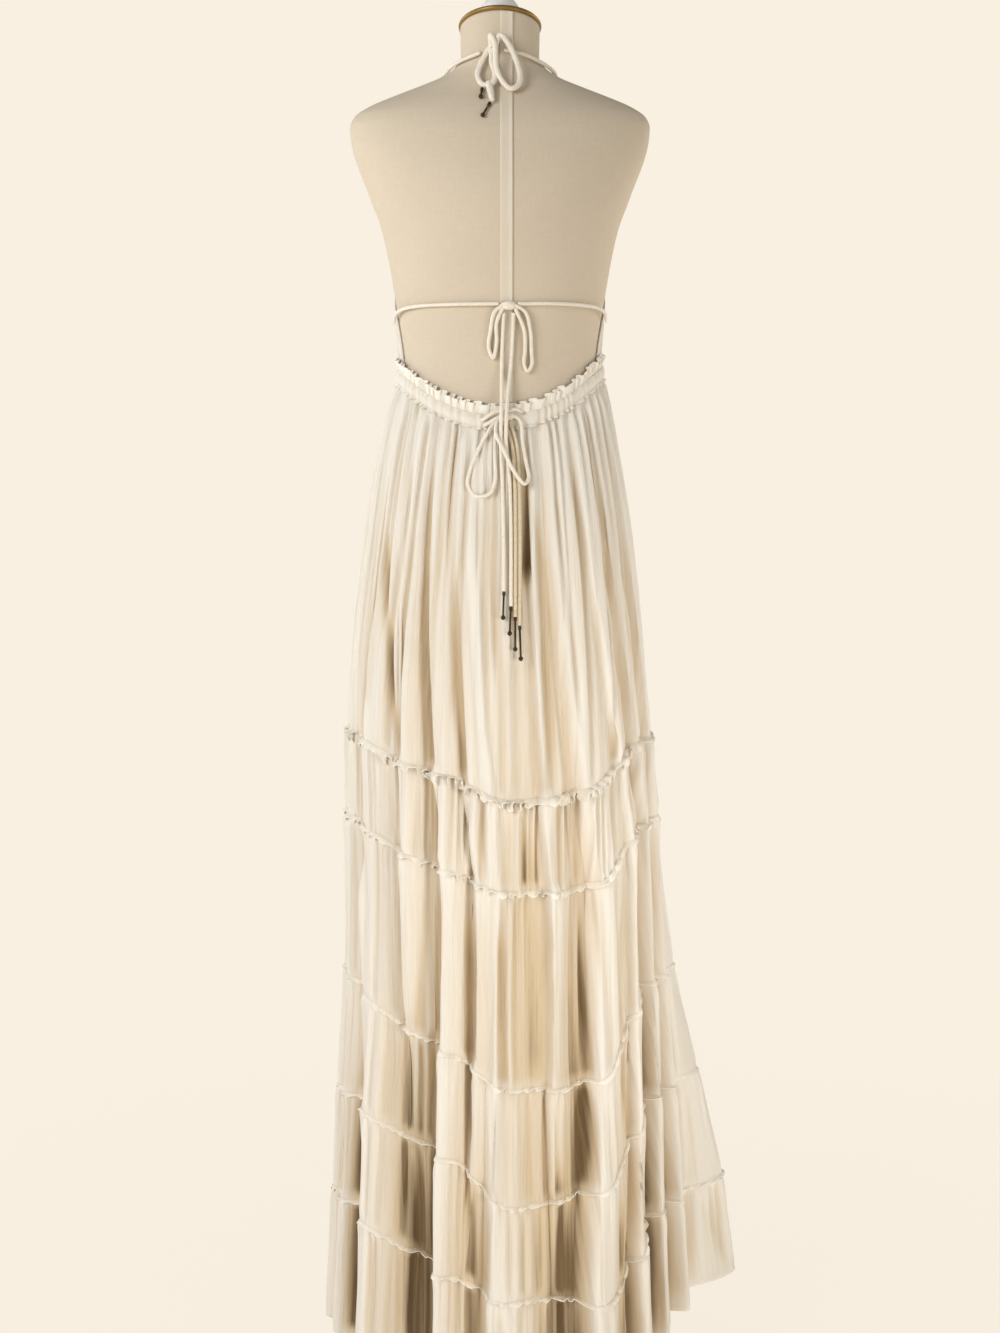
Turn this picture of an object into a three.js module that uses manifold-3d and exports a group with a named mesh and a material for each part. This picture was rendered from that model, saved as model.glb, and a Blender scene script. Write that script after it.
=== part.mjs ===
// Tiered halter maxi dress of crinkle gauze, standing on a limbless dress form.
// Millimetres, +Z up. The open back of the dress faces -Y, and the origin is the
// centre of the base's underside. A turn is an angle in degrees from the centre
// back, positive towards +X, so 180 is the centre front.
import * as THREE from "three";
import { mergeVertices } from "three/addons/utils/BufferGeometryUtils.js";
import Module from "manifold-3d";

// Clear spaces and wall thicknesses
const SEAM_GAP = 0.3; // between two pieces that meet
const BODY_GAP = 0.8; // between the form and the cloth that lies on it
const CORD_GAP = 1.6; // between the form and a cord, so that it clears the back tape
const GAUZE_WALL = 2.8; // skirt wall, with the height of its crinkle
const BODICE_GAP = 1.6; // the gathered bodice stands a little off the form
const BODICE_WALL = 1.5;

// Waist
const CASING_HEIGHT = 17;
const HEADING_HEIGHT = 12;
const HEADING_WAVES = 40;
const HEADING_FOOT = 2.4; // thickness where it stands on the casing
const HEADING_LIFT = 3.4; // foot's inner face, off the form
const HEADING_LEAN = { mean: 2.4, wave: 1.9 }; // how far its edge leans out past the foot's inner face

// Seam frills
const FRILL_WAVES = 21;
const FRILL_PHASE = 0.4; // so that no wave starts on a corner
const FRILL_LIFT = 0.6; // off the skirt wall
const FRILL_FOOT = 2; // thickness at the seam
const FRILL_EDGE = 1.4; // thickness of its rolled edge
const FRILL_REACH = { mean: 4.8, wave: 1.9 };
const FRILL_DROP = { mean: 5, wave: 3.5 };

// Points around each tube of cloth
const SKIRT_POINTS = 4 * FRILL_WAVES;
const HEADING_POINTS = 4 * HEADING_WAVES;
const FORM_POINTS = 32;

// Cords
const CORD_DIAMETER = 4.4;
const ROULEAU_DIAMETER = 6.4; // softer cord of the neck bow
const CORD_SIDES = 8;
const TIP = { collar: 1.9, stick: 1.2, bead: 2.7, collarLength: 5, sides: 6 };

// Stand
const BASE = { radius: 130, rim: 9, crown: 17, hub: 26, height: 42 };
const POLE_RADIUS = 16;
const ROUND_SIDES = 24;

// Neck of the form, cut on a slant that is higher at the back
const NECK_TOP = 1634;
const NECK_SLANT = 0.27; // rise towards the back for each unit of depth
const RIM_HEIGHT = 6;
const KNOB = { radius: 23, neck: 15, height: 30 };

// Tape down the centre back of the form
const TAPE = { low: 1208, left: 0, width: 15, lift: 0.3, thickness: 0.8 };

// Form: half width and half depths to the back and the front at each height
const FORM = [
  { height: 905, half: 120, back: 86, front: 85 },
  { height: 920, half: 139, back: 101, front: 98 },
  { height: 1000, half: 150, back: 112, front: 104 },
  { height: 1080, half: 142, back: 104, front: 96 },
  { height: 1140, half: 131, back: 93, front: 89 },
  { height: 1185, half: 123.5, back: 85, front: 85 },
  { height: 1215, half: 120, back: 81.5, front: 83.5 },
  { height: 1245, half: 118.5, back: 80, front: 84.5 },
  { height: 1295, half: 122, back: 83, front: 94 },
  { height: 1330, half: 127, back: 89, front: 107 },
  { height: 1400, half: 141, back: 98, front: 124 },
  { height: 1436, half: 154, back: 100, front: 118 },
  { height: 1506, half: 177, back: 88, front: 84 },
  { height: 1520, half: 178, back: 83, front: 76 },
  { height: 1532, half: 173, back: 77, front: 69 },
  { height: 1543, half: 157, back: 70, front: 62 },
  { height: 1554, half: 131, back: 62, front: 55 },
  { height: 1565, half: 102, back: 55, front: 50 },
  { height: 1577, half: 72, back: 50.5, front: 47 },
  { height: 1588, half: 55, back: 48, front: 46 },
  { height: 1600, half: 46.5, back: 47, front: 45.5 },
  { height: NECK_TOP, half: 47, back: 48, front: 46 },
];

// Skirt rings from the waist to the hem: heights at the back, left, right and front,
// half sizes out to the fold crests, how deep the folds are, and how far the back of the
// ring steps up or down at the turns of STEP_TURNS. The waist ring lies on the form, so
// it gives only its heights.
const STEP_TURNS = [-90, -55, -18, 6, 37, 60, 90];
const LEVEL = [0, 0, 0, 0, 0, 0, 0];
const SKIRT = [
  { zBack: 1163, zLeft: 1219, zRight: 1224, zFront: 1215, lift: 3.2, steps: LEVEL },
  {
    zBack: 1112, zLeft: 1142, zRight: 1146, zFront: 1144, steps: LEVEL,
    left: 145, right: 142, back: 110, front: 104, fold: 4,
  },
  {
    zBack: 1010, zLeft: 1035, zRight: 1036, zFront: 1042, steps: LEVEL,
    left: 164, right: 161, back: 134, front: 123, fold: 8,
  },
  {
    zBack: 872, zLeft: 918, zRight: 912, zFront: 922, steps: [0, 6, 11, 1, -2, 5, 0],
    left: 180, right: 175, back: 152, front: 137, fold: 12,
  },
  {
    zBack: 734, zLeft: 804, zRight: 792, zFront: 800, steps: [0, 14, 25, 3, -4, 13, 0],
    left: 187, right: 185, back: 164, front: 146, fold: 15,
  },
  {
    zBack: 635, zLeft: 702, zRight: 696, zFront: 690, steps: [0, 12, 15, -4, -20, 8, 0],
    left: 190, right: 193, back: 174, front: 154, fold: 19,
  },
  {
    zBack: 408, zLeft: 506, zRight: 498, zFront: 484, steps: [0, 20, 30, -4, -30, 24, 0],
    left: 193, right: 207, back: 200, front: 172, fold: 27,
  },
  {
    zBack: 280, zLeft: 355, zRight: 358, zFront: 340, steps: [0, 32, 40, -10, -24, 28, 0],
    left: 202, right: 220, back: 218, front: 186, fold: 34,
  },
  {
    zBack: 166, zLeft: 226, zRight: 214, zFront: 200, steps: [0, 28, 20, 0, -32, 28, 0],
    left: 209, right: 231, back: 232, front: 198, fold: 40,
  },
  {
    zBack: 26, zLeft: 58, zRight: 84, zFront: 48, steps: [0, 24, 12, 0, -16, 10, 0],
    left: 219, right: 241, back: 246, front: 212, fold: 46,
  },
];

// Tiers of the skirt, by the rings at their top and bottom edges
const TIERS = [
  { name: "skirt_upper", top: 0, bottom: 4 },
  { name: "skirt_tier_2", top: 4, bottom: 5 },
  { name: "skirt_tier_3", top: 5, bottom: 6 },
  { name: "skirt_tier_4", top: 6, bottom: 7 },
  { name: "skirt_tier_5", top: 7, bottom: 8 },
  { name: "skirt_tier_6", top: 8, bottom: 9 },
];

// Folds: turn of each crest at the hip, at seam 2 and at seam 5 (the rings of
// FOLD_RINGS), how far it spreads to each side, its crest at those rings as a share
// of the fold depth, and how square it is (2 is round, 4 is broad with steep sides)
const FOLD_RINGS = [2, 5, 8];
const FOLDS = [
  { hip: -73, middle: -71, low: -66, spread: 9, crests: [0.9, 1.0, 0.95], square: 2 },
  { hip: -54, middle: -52, low: -45, spread: 12, crests: [1.0, 0.9, 1.0], square: 4 },
  { hip: -39, middle: -34, low: -31, spread: 8, crests: [0.8, 0.9, 0.1], square: 2 },
  { hip: -27, middle: -17, low: -18, spread: 8, crests: [0.9, 1.0, 0.95], square: 2 },
  { hip: -14, middle: -4, low: -8, spread: 8, crests: [0.6, 0.9, 0.55], square: 2 },
  { hip: -2, middle: 7, low: 6, spread: 12, crests: [1.0, 0.35, 1.0], square: 4 },
  { hip: 16, middle: 22, low: 22, spread: 7, crests: [1.0, 0.9, 0.2], square: 2 },
  { hip: 31, middle: 46, low: 37, spread: 11, crests: [0.8, 1.0, 1.0], square: 4 },
  { hip: 44, middle: 59, low: 52, spread: 7, crests: [0.9, 0.8, 0.9], square: 2 },
  { hip: 58, middle: 72, low: 64, spread: 8, crests: [0.8, 0.9, 0.85], square: 2 },
  { hip: 76, middle: 86, low: 80, spread: 9, crests: [0.9, 1.0, 1.0], square: 2 },
  { hip: 98, middle: 104, low: 109, spread: 24, crests: [0.9, 1.1, 2.75], square: 2 },
  { hip: 118, middle: 122, low: 132, spread: 9, crests: [0.9, 0.9, 0.8], square: 2 },
  { hip: 136, middle: 139, low: 148, spread: 10, crests: [0.8, 1.0, 0.9], square: 2 },
  { hip: 153, middle: 156, low: 164, spread: 8, crests: [1.0, 0.8, 0.7], square: 2 },
  { hip: 170, middle: 172, low: 179, spread: 11, crests: [0.8, 0.9, 1.0], square: 4 },
  { hip: 187, middle: 190, low: 195, spread: 8, crests: [0.9, 1.0, 0.6], square: 2 },
  { hip: 203, middle: 207, low: 210, spread: 10, crests: [0.8, 0.8, 1.0], square: 2 },
  { hip: 220, middle: 223, low: 226, spread: 9, crests: [1.0, 0.9, 0.8], square: 2 },
  { hip: 237, middle: 239, low: 243, spread: 11, crests: [0.8, 1.0, 1.0], square: 4 },
  { hip: 254, middle: 255, low: 260, spread: 8, crests: [0.9, 0.8, 0.9], square: 2 },
  { hip: 270, middle: 272, low: 276, spread: 9, crests: [0.9, 1.0, 1.0], square: 2 },
];

// Halter bodice: height of each row and its half span in degrees either side of the
// centre front. The first row stands on the waist casing, so it gives no height.
const BODICE = [
  { span: 110, gather: 0 },
  { height: 1245, span: 107, gather: 0 },
  { height: 1295, span: 98, gather: 0.3 },
  { height: 1312, span: 88, gather: 0.6 },
  { height: 1330, span: 78, gather: 1 },
  { height: 1350, span: 68, gather: 1 },
  { height: 1372, span: 58, gather: 1 },
  { height: 1400, span: 48, gather: 1 },
  { height: 1436, span: 38, gather: 1 },
  { height: 1471, span: 30, gather: 1 },
  { height: 1506, span: 21, gather: 1 },
  { height: 1520, span: 17, gather: 0.8 },
  { height: 1527, span: 15, gather: 0.6 },
];
const BODICE_COLUMNS = 20;
const GATHER_HEIGHT = 2.6; // of every second column of the bodice
const NECK_CASING = { height: 1533, span: 15, diameter: 9, columns: 6 };

const radians = THREE.MathUtils.degToRad;
const mix = THREE.MathUtils.lerp;
const group = new THREE.Group();
const wasm = await Module();
wasm.setup();

// Finishes
const gauze = { color: 0xefe6d4, roughness: 0.95, metalness: 0 };
const cordFinish = { color: 0xf1e9da, roughness: 0.9, metalness: 0 };
const bronze = { color: 0x3a2c1a, roughness: 0.45, metalness: 0.8 };
const linen = { color: 0xd6c7ad, roughness: 0.95, metalness: 0 };
const tapeFinish = { color: 0xe2d6bd, roughness: 0.9, metalness: 0 };
const brassRim = { color: 0x82642c, roughness: 0.5, metalness: 0.5 };
const paleKnob = { color: 0xe9e8e2, roughness: 0.5, metalness: 0 };
const iron = { color: 0x2e2c2a, roughness: 0.6, metalness: 0.6 };

function addMesh(name, geometry, finish, parent = group) {
  const mesh = new THREE.Mesh(geometry, new THREE.MeshStandardMaterial(finish));
  mesh.name = name;
  parent.add(mesh);
  return mesh;
}

// Closed surface through sections, each a closed polygon with the same number of
// points. A closed skin runs on from the last section to the first; an open one is
// capped, each cap joining the polygon's first half to its second.
function skin(sections, closed) {
  const count = sections[0].length;
  const index = [];
  const bands = closed ? sections.length : sections.length - 1;
  for (let i = 0; i < bands; i++) {
    const here = i * count;
    const next = ((i + 1) % sections.length) * count;
    for (let k = 0; k < count; k++) {
      const after = (k + 1) % count;
      index.push(here + k, next + k, next + after);
      index.push(here + k, next + after, here + after);
    }
  }
  if (!closed) {
    const last = (sections.length - 1) * count;
    for (let k = 0; k < count / 2 - 1; k++) {
      const [a, b, c, d] = [k, k + 1, count - 2 - k, count - 1 - k];
      index.push(a, b, c, a, c, d);
      index.push(last + a, last + c, last + b, last + a, last + d, last + c);
    }
  }
  const points = sections.flat();
  if (signedVolume(points, index) < 0) {
    index.reverse();
  }
  const geometry = new THREE.BufferGeometry().setFromPoints(points);
  geometry.setIndex(index);
  return geometry;
}

function signedVolume(points, index) {
  const cross = new THREE.Vector3();
  let volume = 0;
  for (let i = 0; i < index.length; i += 3) {
    cross.crossVectors(points[index[i]], points[index[i + 1]]);
    volume += cross.dot(points[index[i + 2]]) / 6;
  }
  return volume;
}

// Turns evenly spaced all the way round
function turnsAround(count) {
  return Array.from({ length: count }, (_, i) => (360 * i) / count);
}

// Point of an oval ring that may differ on its four sides
function ringPoint(sizes, turn, height, lift) {
  const sine = Math.sin(radians(turn));
  const cosine = Math.cos(radians(turn));
  const half = sine < 0 ? sizes.left : sizes.right;
  const depth = cosine < 0 ? sizes.front : sizes.back;
  return new THREE.Vector3((half + lift) * sine, -(depth + lift) * cosine, height);
}

// Form at any height, straight between the rows of its table
function formSizes(height) {
  const above = Math.max(1, FORM.findIndex((row) => row.height >= height));
  const low = FORM[above - 1];
  const high = FORM[above];
  const share = (height - low.height) / (high.height - low.height);
  const half = mix(low.half, high.half, share);
  return { left: half, right: half, back: mix(low.back, high.back, share), front: mix(low.front, high.front, share) };
}

function formPoint(turn, height, lift) {
  return ringPoint(formSizes(height), turn, height, lift);
}

// Height of a skirt ring at a turn
function ringHeight(ring, turn) {
  const sine = Math.sin(radians(turn));
  const cosine = Math.cos(radians(turn));
  const side = sine < 0 ? ring.zLeft : ring.zRight;
  const end = cosine < 0 ? ring.zFront : ring.zBack;
  return side + (end - side) * cosine * cosine + stepAt(ring, turn);
}

// Step of a skirt ring across the back, easing from one turn of STEP_TURNS to the next
function stepAt(ring, turn) {
  const signed = turn > 180 ? turn - 360 : turn;
  const after = STEP_TURNS.findIndex((stop) => stop > signed);
  if (after < 1) {
    return 0;
  }
  const share = THREE.MathUtils.smoothstep(signed, STEP_TURNS[after - 1], STEP_TURNS[after]);
  return mix(ring.steps[after - 1], ring.steps[after], share);
}

function waistHeight(turn) {
  return ringHeight(SKIRT[0], turn);
}

// Value along the skirt between the three rings that a fold is given at
function alongFold(values, ringNumber) {
  const [hip, middle, low] = FOLD_RINGS;
  if (ringNumber <= middle) {
    return mix(values[0], values[1], Math.max(0, (ringNumber - hip) / (middle - hip)));
  }
  return mix(values[1], values[2], Math.min(1, (ringNumber - middle) / (low - middle)));
}

// Height of the folds at a turn, as a share of the fold depth
function crestAt(ringNumber, turn) {
  let crest = 0;
  for (const fold of FOLDS) {
    const centre = alongFold([fold.hip, fold.middle, fold.low], ringNumber);
    const away = Math.abs(THREE.MathUtils.euclideanModulo(turn - centre + 180, 360) - 180) / fold.spread;
    if (away < 1) {
      crest += alongFold(fold.crests, ringNumber) * (1 - away ** fold.square) ** 2;
    }
  }
  return crest;
}

function skirtPoint(ringNumber, turn, lift, rise) {
  const ring = SKIRT[ringNumber];
  const height = ringHeight(ring, turn) + rise;
  if (ring.lift !== undefined) {
    return formPoint(turn, height, ring.lift + lift);
  }
  return ringPoint(ring, turn, height, ring.fold * (crestAt(ringNumber, turn) - 1) + lift);
}

// Tier of the skirt as a wall through its rings, parted by half the seam gap at each edge
function tierGeometry(tier) {
  const sections = turnsAround(SKIRT_POINTS).map((turn) => {
    const outer = [];
    const inner = [];
    for (let i = tier.top; i <= tier.bottom; i++) {
      const rise = i === tier.top ? -SEAM_GAP / 2 : i === tier.bottom ? SEAM_GAP / 2 : 0;
      outer.push(skirtPoint(i, turn, 0, rise));
      inner.unshift(skirtPoint(i, turn, -GAUZE_WALL, rise));
    }
    return [...outer, ...inner];
  });
  return skin(sections, true);
}

// Frill that hangs out from a seam, a blade that tapers to a waved edge
function frillGeometry(ringNumber) {
  const sections = turnsAround(SKIRT_POINTS).map((turn) => {
    const phase = radians(turn) * FRILL_WAVES + FRILL_PHASE;
    const reach = FRILL_REACH.mean + FRILL_REACH.wave * Math.sin(phase);
    const drop = FRILL_DROP.mean + FRILL_DROP.wave * Math.cos(phase);
    const length = Math.hypot(reach - FRILL_LIFT, drop);
    const [out, up] = [drop / length, (reach - FRILL_LIFT) / length];
    return [
      skirtPoint(ringNumber, turn, FRILL_LIFT + out * FRILL_FOOT, up * FRILL_FOOT),
      skirtPoint(ringNumber, turn, FRILL_LIFT, 0),
      skirtPoint(ringNumber, turn, reach, -drop),
      skirtPoint(ringNumber, turn, reach + out * FRILL_EDGE, -drop + up * FRILL_EDGE),
    ];
  });
  return skin(sections, true);
}

// Casing round the waist, puffed out by the drawstring inside it
function casingGeometry() {
  const profile = [
    { lift: BODY_GAP, rise: SEAM_GAP },
    { lift: 5.2, rise: SEAM_GAP },
    { lift: 6.2, rise: CASING_HEIGHT },
    { lift: BODY_GAP, rise: CASING_HEIGHT },
  ];
  const sections = turnsAround(SKIRT_POINTS).map((turn) =>
    profile.map((corner) => formPoint(turn, waistHeight(turn) + corner.rise, corner.lift)),
  );
  return skin(sections, true);
}

// Ruffled heading that stands on the casing's upper edge
function headingGeometry() {
  const foot = CASING_HEIGHT + SEAM_GAP;
  const sections = turnsAround(HEADING_POINTS).map((turn) => {
    const wave = Math.sin(radians(turn) * HEADING_WAVES);
    const lean = HEADING_LIFT + HEADING_LEAN.mean + HEADING_LEAN.wave * wave;
    const height = waistHeight(turn) + foot;
    return [
      formPoint(turn, height, HEADING_LIFT),
      formPoint(turn, height, HEADING_LIFT + HEADING_FOOT),
      formPoint(turn, height + HEADING_HEIGHT, lean),
    ];
  });
  return skin(sections, true);
}

// Front panel of the bodice, gathered towards the neck
function bodiceGeometry() {
  const sections = [];
  for (let column = 0; column <= BODICE_COLUMNS; column++) {
    const outer = [];
    const inner = [];
    for (const row of BODICE) {
      const turn = 180 + row.span * (1 - (2 * column) / BODICE_COLUMNS);
      const height = row.height ?? waistHeight(turn) + CASING_HEIGHT + BODY_GAP;
      const gather = column % 2 === 1 ? GATHER_HEIGHT * row.gather : 0;
      outer.push(formPoint(turn, height, BODICE_GAP + BODICE_WALL + gather));
      inner.unshift(formPoint(turn, height, BODICE_GAP));
    }
    sections.push([...outer, ...inner]);
  }
  return skin(sections, false);
}

// Torso of the form, closed flat at the bottom and along the slanted neck
function torsoGeometry() {
  const sections = FORM.map((row) =>
    turnsAround(FORM_POINTS).map((turn) => {
      const point = formPoint(turn, row.height, 0);
      if (row.height === NECK_TOP) {
        point.z -= NECK_SLANT * point.y;
      }
      return point;
    }),
  );
  return skin(sections, false);
}

// Flat tape along the centre back seam of the form
function tapeGeometry() {
  const heights = [TAPE.low, ...FORM.map((row) => row.height).filter((height) => height > TAPE.low)];
  const edges = [TAPE.left, TAPE.left + TAPE.width / 2, TAPE.left + TAPE.width];
  const sections = heights.map((height) => {
    const half = formSizes(height).right;
    const turns = edges.map((across) => THREE.MathUtils.radToDeg(Math.asin(across / half)));
    const under = turns.map((turn) => formPoint(turn, height, TAPE.lift));
    const over = turns.map((turn) => formPoint(turn, height, TAPE.lift + TAPE.thickness));
    return [...under, ...over.reverse()];
  });
  return skin(sections, false);
}

// Rim that closes the slanted neck
function rimGeometry() {
  const neck = formSizes(NECK_TOP);
  const rings = [
    { rise: SEAM_GAP, lift: 0.5 },
    { rise: SEAM_GAP + 0.5 * RIM_HEIGHT, lift: 2 },
    { rise: SEAM_GAP + RIM_HEIGHT, lift: 0 },
  ];
  const sections = rings.map((ring) =>
    turnsAround(ROUND_SIDES).map((turn) => {
      const point = ringPoint(neck, turn, NECK_TOP + ring.rise, ring.lift);
      point.z -= NECK_SLANT * point.y;
      return point;
    }),
  );
  return skin(sections, false);
}

// Turned solid about +Z from a profile of radius and height that starts and ends on the axis
function turned(profile, sides) {
  const points = profile.map(([radius, height]) => new THREE.Vector2(radius, height));
  return new THREE.LatheGeometry(points, sides).rotateX(Math.PI / 2);
}

// Depth of the back of the part at a height, out to what a hanging cord lies on
function backDepth(height) {
  const heading = waistHeight(0) + CASING_HEIGHT + HEADING_HEIGHT;
  const waistBulge = HEADING_LIFT + HEADING_LEAN.mean + HEADING_LEAN.wave;
  if (height > heading + CORD_DIAMETER) {
    return formSizes(height).back;
  }
  if (height >= SKIRT[0].zBack) {
    return formSizes(height).back + waistBulge;
  }
  const below = SKIRT.findIndex((ring) => ring.zBack <= height);
  const low = SKIRT[below];
  const high = SKIRT[below - 1];
  const highBack = high.back ?? formSizes(high.zBack).back + waistBulge;
  return mix(low.back, highBack, (height - low.zBack) / (high.zBack - low.zBack));
}

// Point of a cord's route: by turn where it lies round the form, or by its distance
// across from the centre where it hangs down the back. Lift is extra to lying close.
function routePoint(stop, diameter) {
  const lift = CORD_GAP + diameter / 2 + stop.lift;
  if (stop.turn !== undefined) {
    return formPoint(stop.turn, stop.height, lift);
  }
  const half = formSizes(stop.height).right;
  const roundness = Math.sqrt(1 - (stop.across / half) ** 2);
  return new THREE.Vector3(stop.across, -backDepth(stop.height) * roundness - lift, stop.height);
}

// Tube along a route
function cordGeometry(route, diameter, steps) {
  const points = route.map((stop) => routePoint(stop, diameter));
  const corners = turnsAround(CORD_SIDES).map((turn) => {
    const angle = radians(turn);
    return new THREE.Vector2(Math.cos(angle), Math.sin(angle)).multiplyScalar(diameter / 2);
  });
  const extrudePath = new THREE.CatmullRomCurve3(points, false, "centripetal");
  return new THREE.ExtrudeGeometry(new THREE.Shape(corners), { steps, extrudePath, bevelEnabled: false });
}

// Rounded knot at a route point
function knotGeometry(stop, halfSizes) {
  const [across, deep, tall] = halfSizes;
  const centre = routePoint(stop, 2 * deep);
  return new THREE.SphereGeometry(1, 10, 7)
    .scale(across, deep, tall)
    .translate(centre.x, centre.y, centre.z);
}

// One closed surface from several that overlap
function unite(geometries) {
  const solids = geometries.map((geometry) => {
    const bare = geometry.clone();
    bare.deleteAttribute("normal");
    bare.deleteAttribute("uv");
    const merged = mergeVertices(bare, 1e-3);
    const vertProperties = new Float32Array(merged.attributes.position.array);
    const triVerts = new Uint32Array(merged.index.array);
    return new wasm.Manifold(new wasm.Mesh({ numProp: 3, vertProperties, triVerts }));
  });
  const mesh = solids.reduce((whole, solid) => whole.add(solid)).getMesh();
  const geometry = new THREE.BufferGeometry();
  geometry.setAttribute("position", new THREE.BufferAttribute(mesh.vertProperties, 3));
  geometry.setIndex(new THREE.BufferAttribute(mesh.triVerts, 1));
  return geometry;
}

// Bronze tip of a cord from its collar to its bead
function addTip(name, collar, bead) {
  const start = routePoint(collar, CORD_DIAMETER);
  const end = routePoint(bead, CORD_DIAMETER);
  const length = start.distanceTo(end);
  const profile = [
    [0, 0],
    [TIP.collar, 0],
    [TIP.collar, TIP.collarLength],
    [TIP.stick, TIP.collarLength],
    [TIP.stick, length - 2 * TIP.bead],
    [TIP.bead, length - TIP.bead],
    [0.5 * TIP.bead, length],
    [0, length],
  ];
  const mesh = addMesh(name, turned(profile, TIP.sides), bronze);
  mesh.position.copy(start);
  mesh.quaternion.setFromUnitVectors(new THREE.Vector3(0, 0, 1), end.sub(start).normalize());
}

// Skirt, its seam frills and the waist
for (const tier of TIERS) {
  addMesh(tier.name, tierGeometry(tier), gauze);
}
TIERS.slice(1).forEach((tier, i) => {
  addMesh(`seam_frill_${i + 1}`, frillGeometry(tier.top), gauze);
});
addMesh("waist_casing", casingGeometry(), gauze);
addMesh("waist_heading", headingGeometry(), gauze);

// Bodice and the casing along its top
addMesh("bodice_front", bodiceGeometry(), gauze);
const neckCasingRoute = Array.from({ length: NECK_CASING.columns + 1 }, (_, i) => ({
  turn: 180 - NECK_CASING.span * (1 - (2 * i) / NECK_CASING.columns),
  height: NECK_CASING.height,
  lift: 0,
}));
addMesh("neck_casing", cordGeometry(neckCasingRoute, NECK_CASING.diameter, NECK_CASING.columns), gauze);

// Neck cord from the ends of its casing, round to the nape
const NECK_KNOT = { across: -9, height: 1601, lift: 0 };
const NECK_LEFT = [
  { turn: 197, height: 1534, lift: 2 },
  { turn: 214, height: 1566, lift: 2.5 },
  { turn: 245, height: 1580, lift: 2 },
  { turn: 270, height: 1586, lift: 0.5 },
  { turn: 300, height: 1592, lift: 0.5 },
  { turn: 325, height: 1597, lift: 0.5 },
  { turn: 333, height: 1599, lift: 0.5 },
];
const NECK_RIGHT = [
  { turn: 163, height: 1534, lift: 2 },
  { turn: 146, height: 1566, lift: 2.5 },
  { turn: 115, height: 1580, lift: 2 },
  { turn: 90, height: 1585, lift: 0.5 },
  { turn: 60, height: 1591, lift: 0.5 },
  { turn: 30, height: 1598, lift: 0.5 },
  { turn: 6, height: 1601, lift: 0.5 },
];
addMesh("neck_cord_left", cordGeometry(NECK_LEFT, CORD_DIAMETER, 10), cordFinish);
addMesh("neck_cord_right", cordGeometry(NECK_RIGHT, CORD_DIAMETER, 11), cordFinish);

// Bow at the nape: one long loop, one small loop and the knotted end below it
const NECK_LONG_LOOP = [
  { across: -10, height: 1604, lift: 4 },
  { across: -11, height: 1617, lift: 5 },
  { across: -6, height: 1608, lift: 9 },
  { across: -4, height: 1578, lift: 9 },
  { across: 5, height: 1560, lift: 6 },
  { across: 13, height: 1554, lift: 5 },
  { across: 21, height: 1559, lift: 5 },
  { across: 23, height: 1569, lift: 6 },
  { across: 19, height: 1587, lift: 8 },
  { across: 9, height: 1608, lift: 7 },
  { across: 0, height: 1617, lift: 5 },
  { across: -6, height: 1604, lift: 3 },
];
const NECK_SMALL_LOOP = [
  { across: -13, height: 1602, lift: 1 },
  { across: -21, height: 1588, lift: 3 },
  { across: -26, height: 1572, lift: 3 },
  { across: -20, height: 1560, lift: 3 },
  { across: -9, height: 1561, lift: 4 },
  { across: -6, height: 1572, lift: 4 },
  { across: -10, height: 1588, lift: 3 },
  { across: -9, height: 1600, lift: 1 },
];
const NECK_BOUND_END = [
  { across: -13, height: 1562, lift: 2 },
  { across: -11, height: 1552, lift: 1 },
  { across: -9, height: 1540, lift: 0 },
];
addMesh(
  "neck_bow",
  unite([
    knotGeometry(NECK_KNOT, [7, 4, 6]),
    cordGeometry(NECK_LONG_LOOP, ROULEAU_DIAMETER, 15),
    cordGeometry(NECK_SMALL_LOOP, ROULEAU_DIAMETER, 10),
    cordGeometry(NECK_BOUND_END, 1.5 * ROULEAU_DIAMETER, 3),
  ]),
  cordFinish,
);
addTip("neck_tip_long", { across: -11.5, height: 1537.4, lift: 0 }, { across: -21, height: 1520, lift: 0 });
addTip("neck_tip_short", { across: -20.6, height: 1555.6, lift: 0.5 }, { across: -22.5, height: 1543, lift: 0.5 });

// Back tie from the corners of the bodice to its bow
const BACK_KNOT = { across: 10, height: 1306, lift: 0 };
const BACK_LEFT = [
  { turn: -84.6, height: 1289, lift: 1.8 },
  { turn: -75, height: 1300, lift: 1.8 },
  { turn: -64, height: 1305, lift: 0.9 },
  { turn: -48, height: 1307.5, lift: 0 },
  { turn: -26, height: 1308, lift: 0 },
  { turn: -9, height: 1308, lift: 0 },
  { turn: -0.8, height: 1308, lift: 0 },
];
const BACK_RIGHT = [
  { turn: 84.6, height: 1292, lift: 1.8 },
  { turn: 75, height: 1302, lift: 1.8 },
  { turn: 64, height: 1306.5, lift: 0.9 },
  { turn: 48, height: 1308.5, lift: 0 },
  { turn: 26, height: 1309, lift: 0 },
  { turn: 9.7, height: 1308, lift: 0 },
];
addMesh("back_tie_left", cordGeometry(BACK_LEFT, CORD_DIAMETER, 10), cordFinish);
addMesh("back_tie_right", cordGeometry(BACK_RIGHT, CORD_DIAMETER, 9), cordFinish);
const BACK_LOOP_LEFT = [
  { across: 3, height: 1306, lift: 3 },
  { across: -6, height: 1299, lift: 3 },
  { across: -11, height: 1278, lift: 1 },
  { across: -13, height: 1258, lift: 0 },
  { across: -8, height: 1246, lift: 0 },
  { across: -4, height: 1264, lift: 1 },
  { across: -4, height: 1286, lift: 3 },
  { across: 3, height: 1303, lift: 3 },
];
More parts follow.
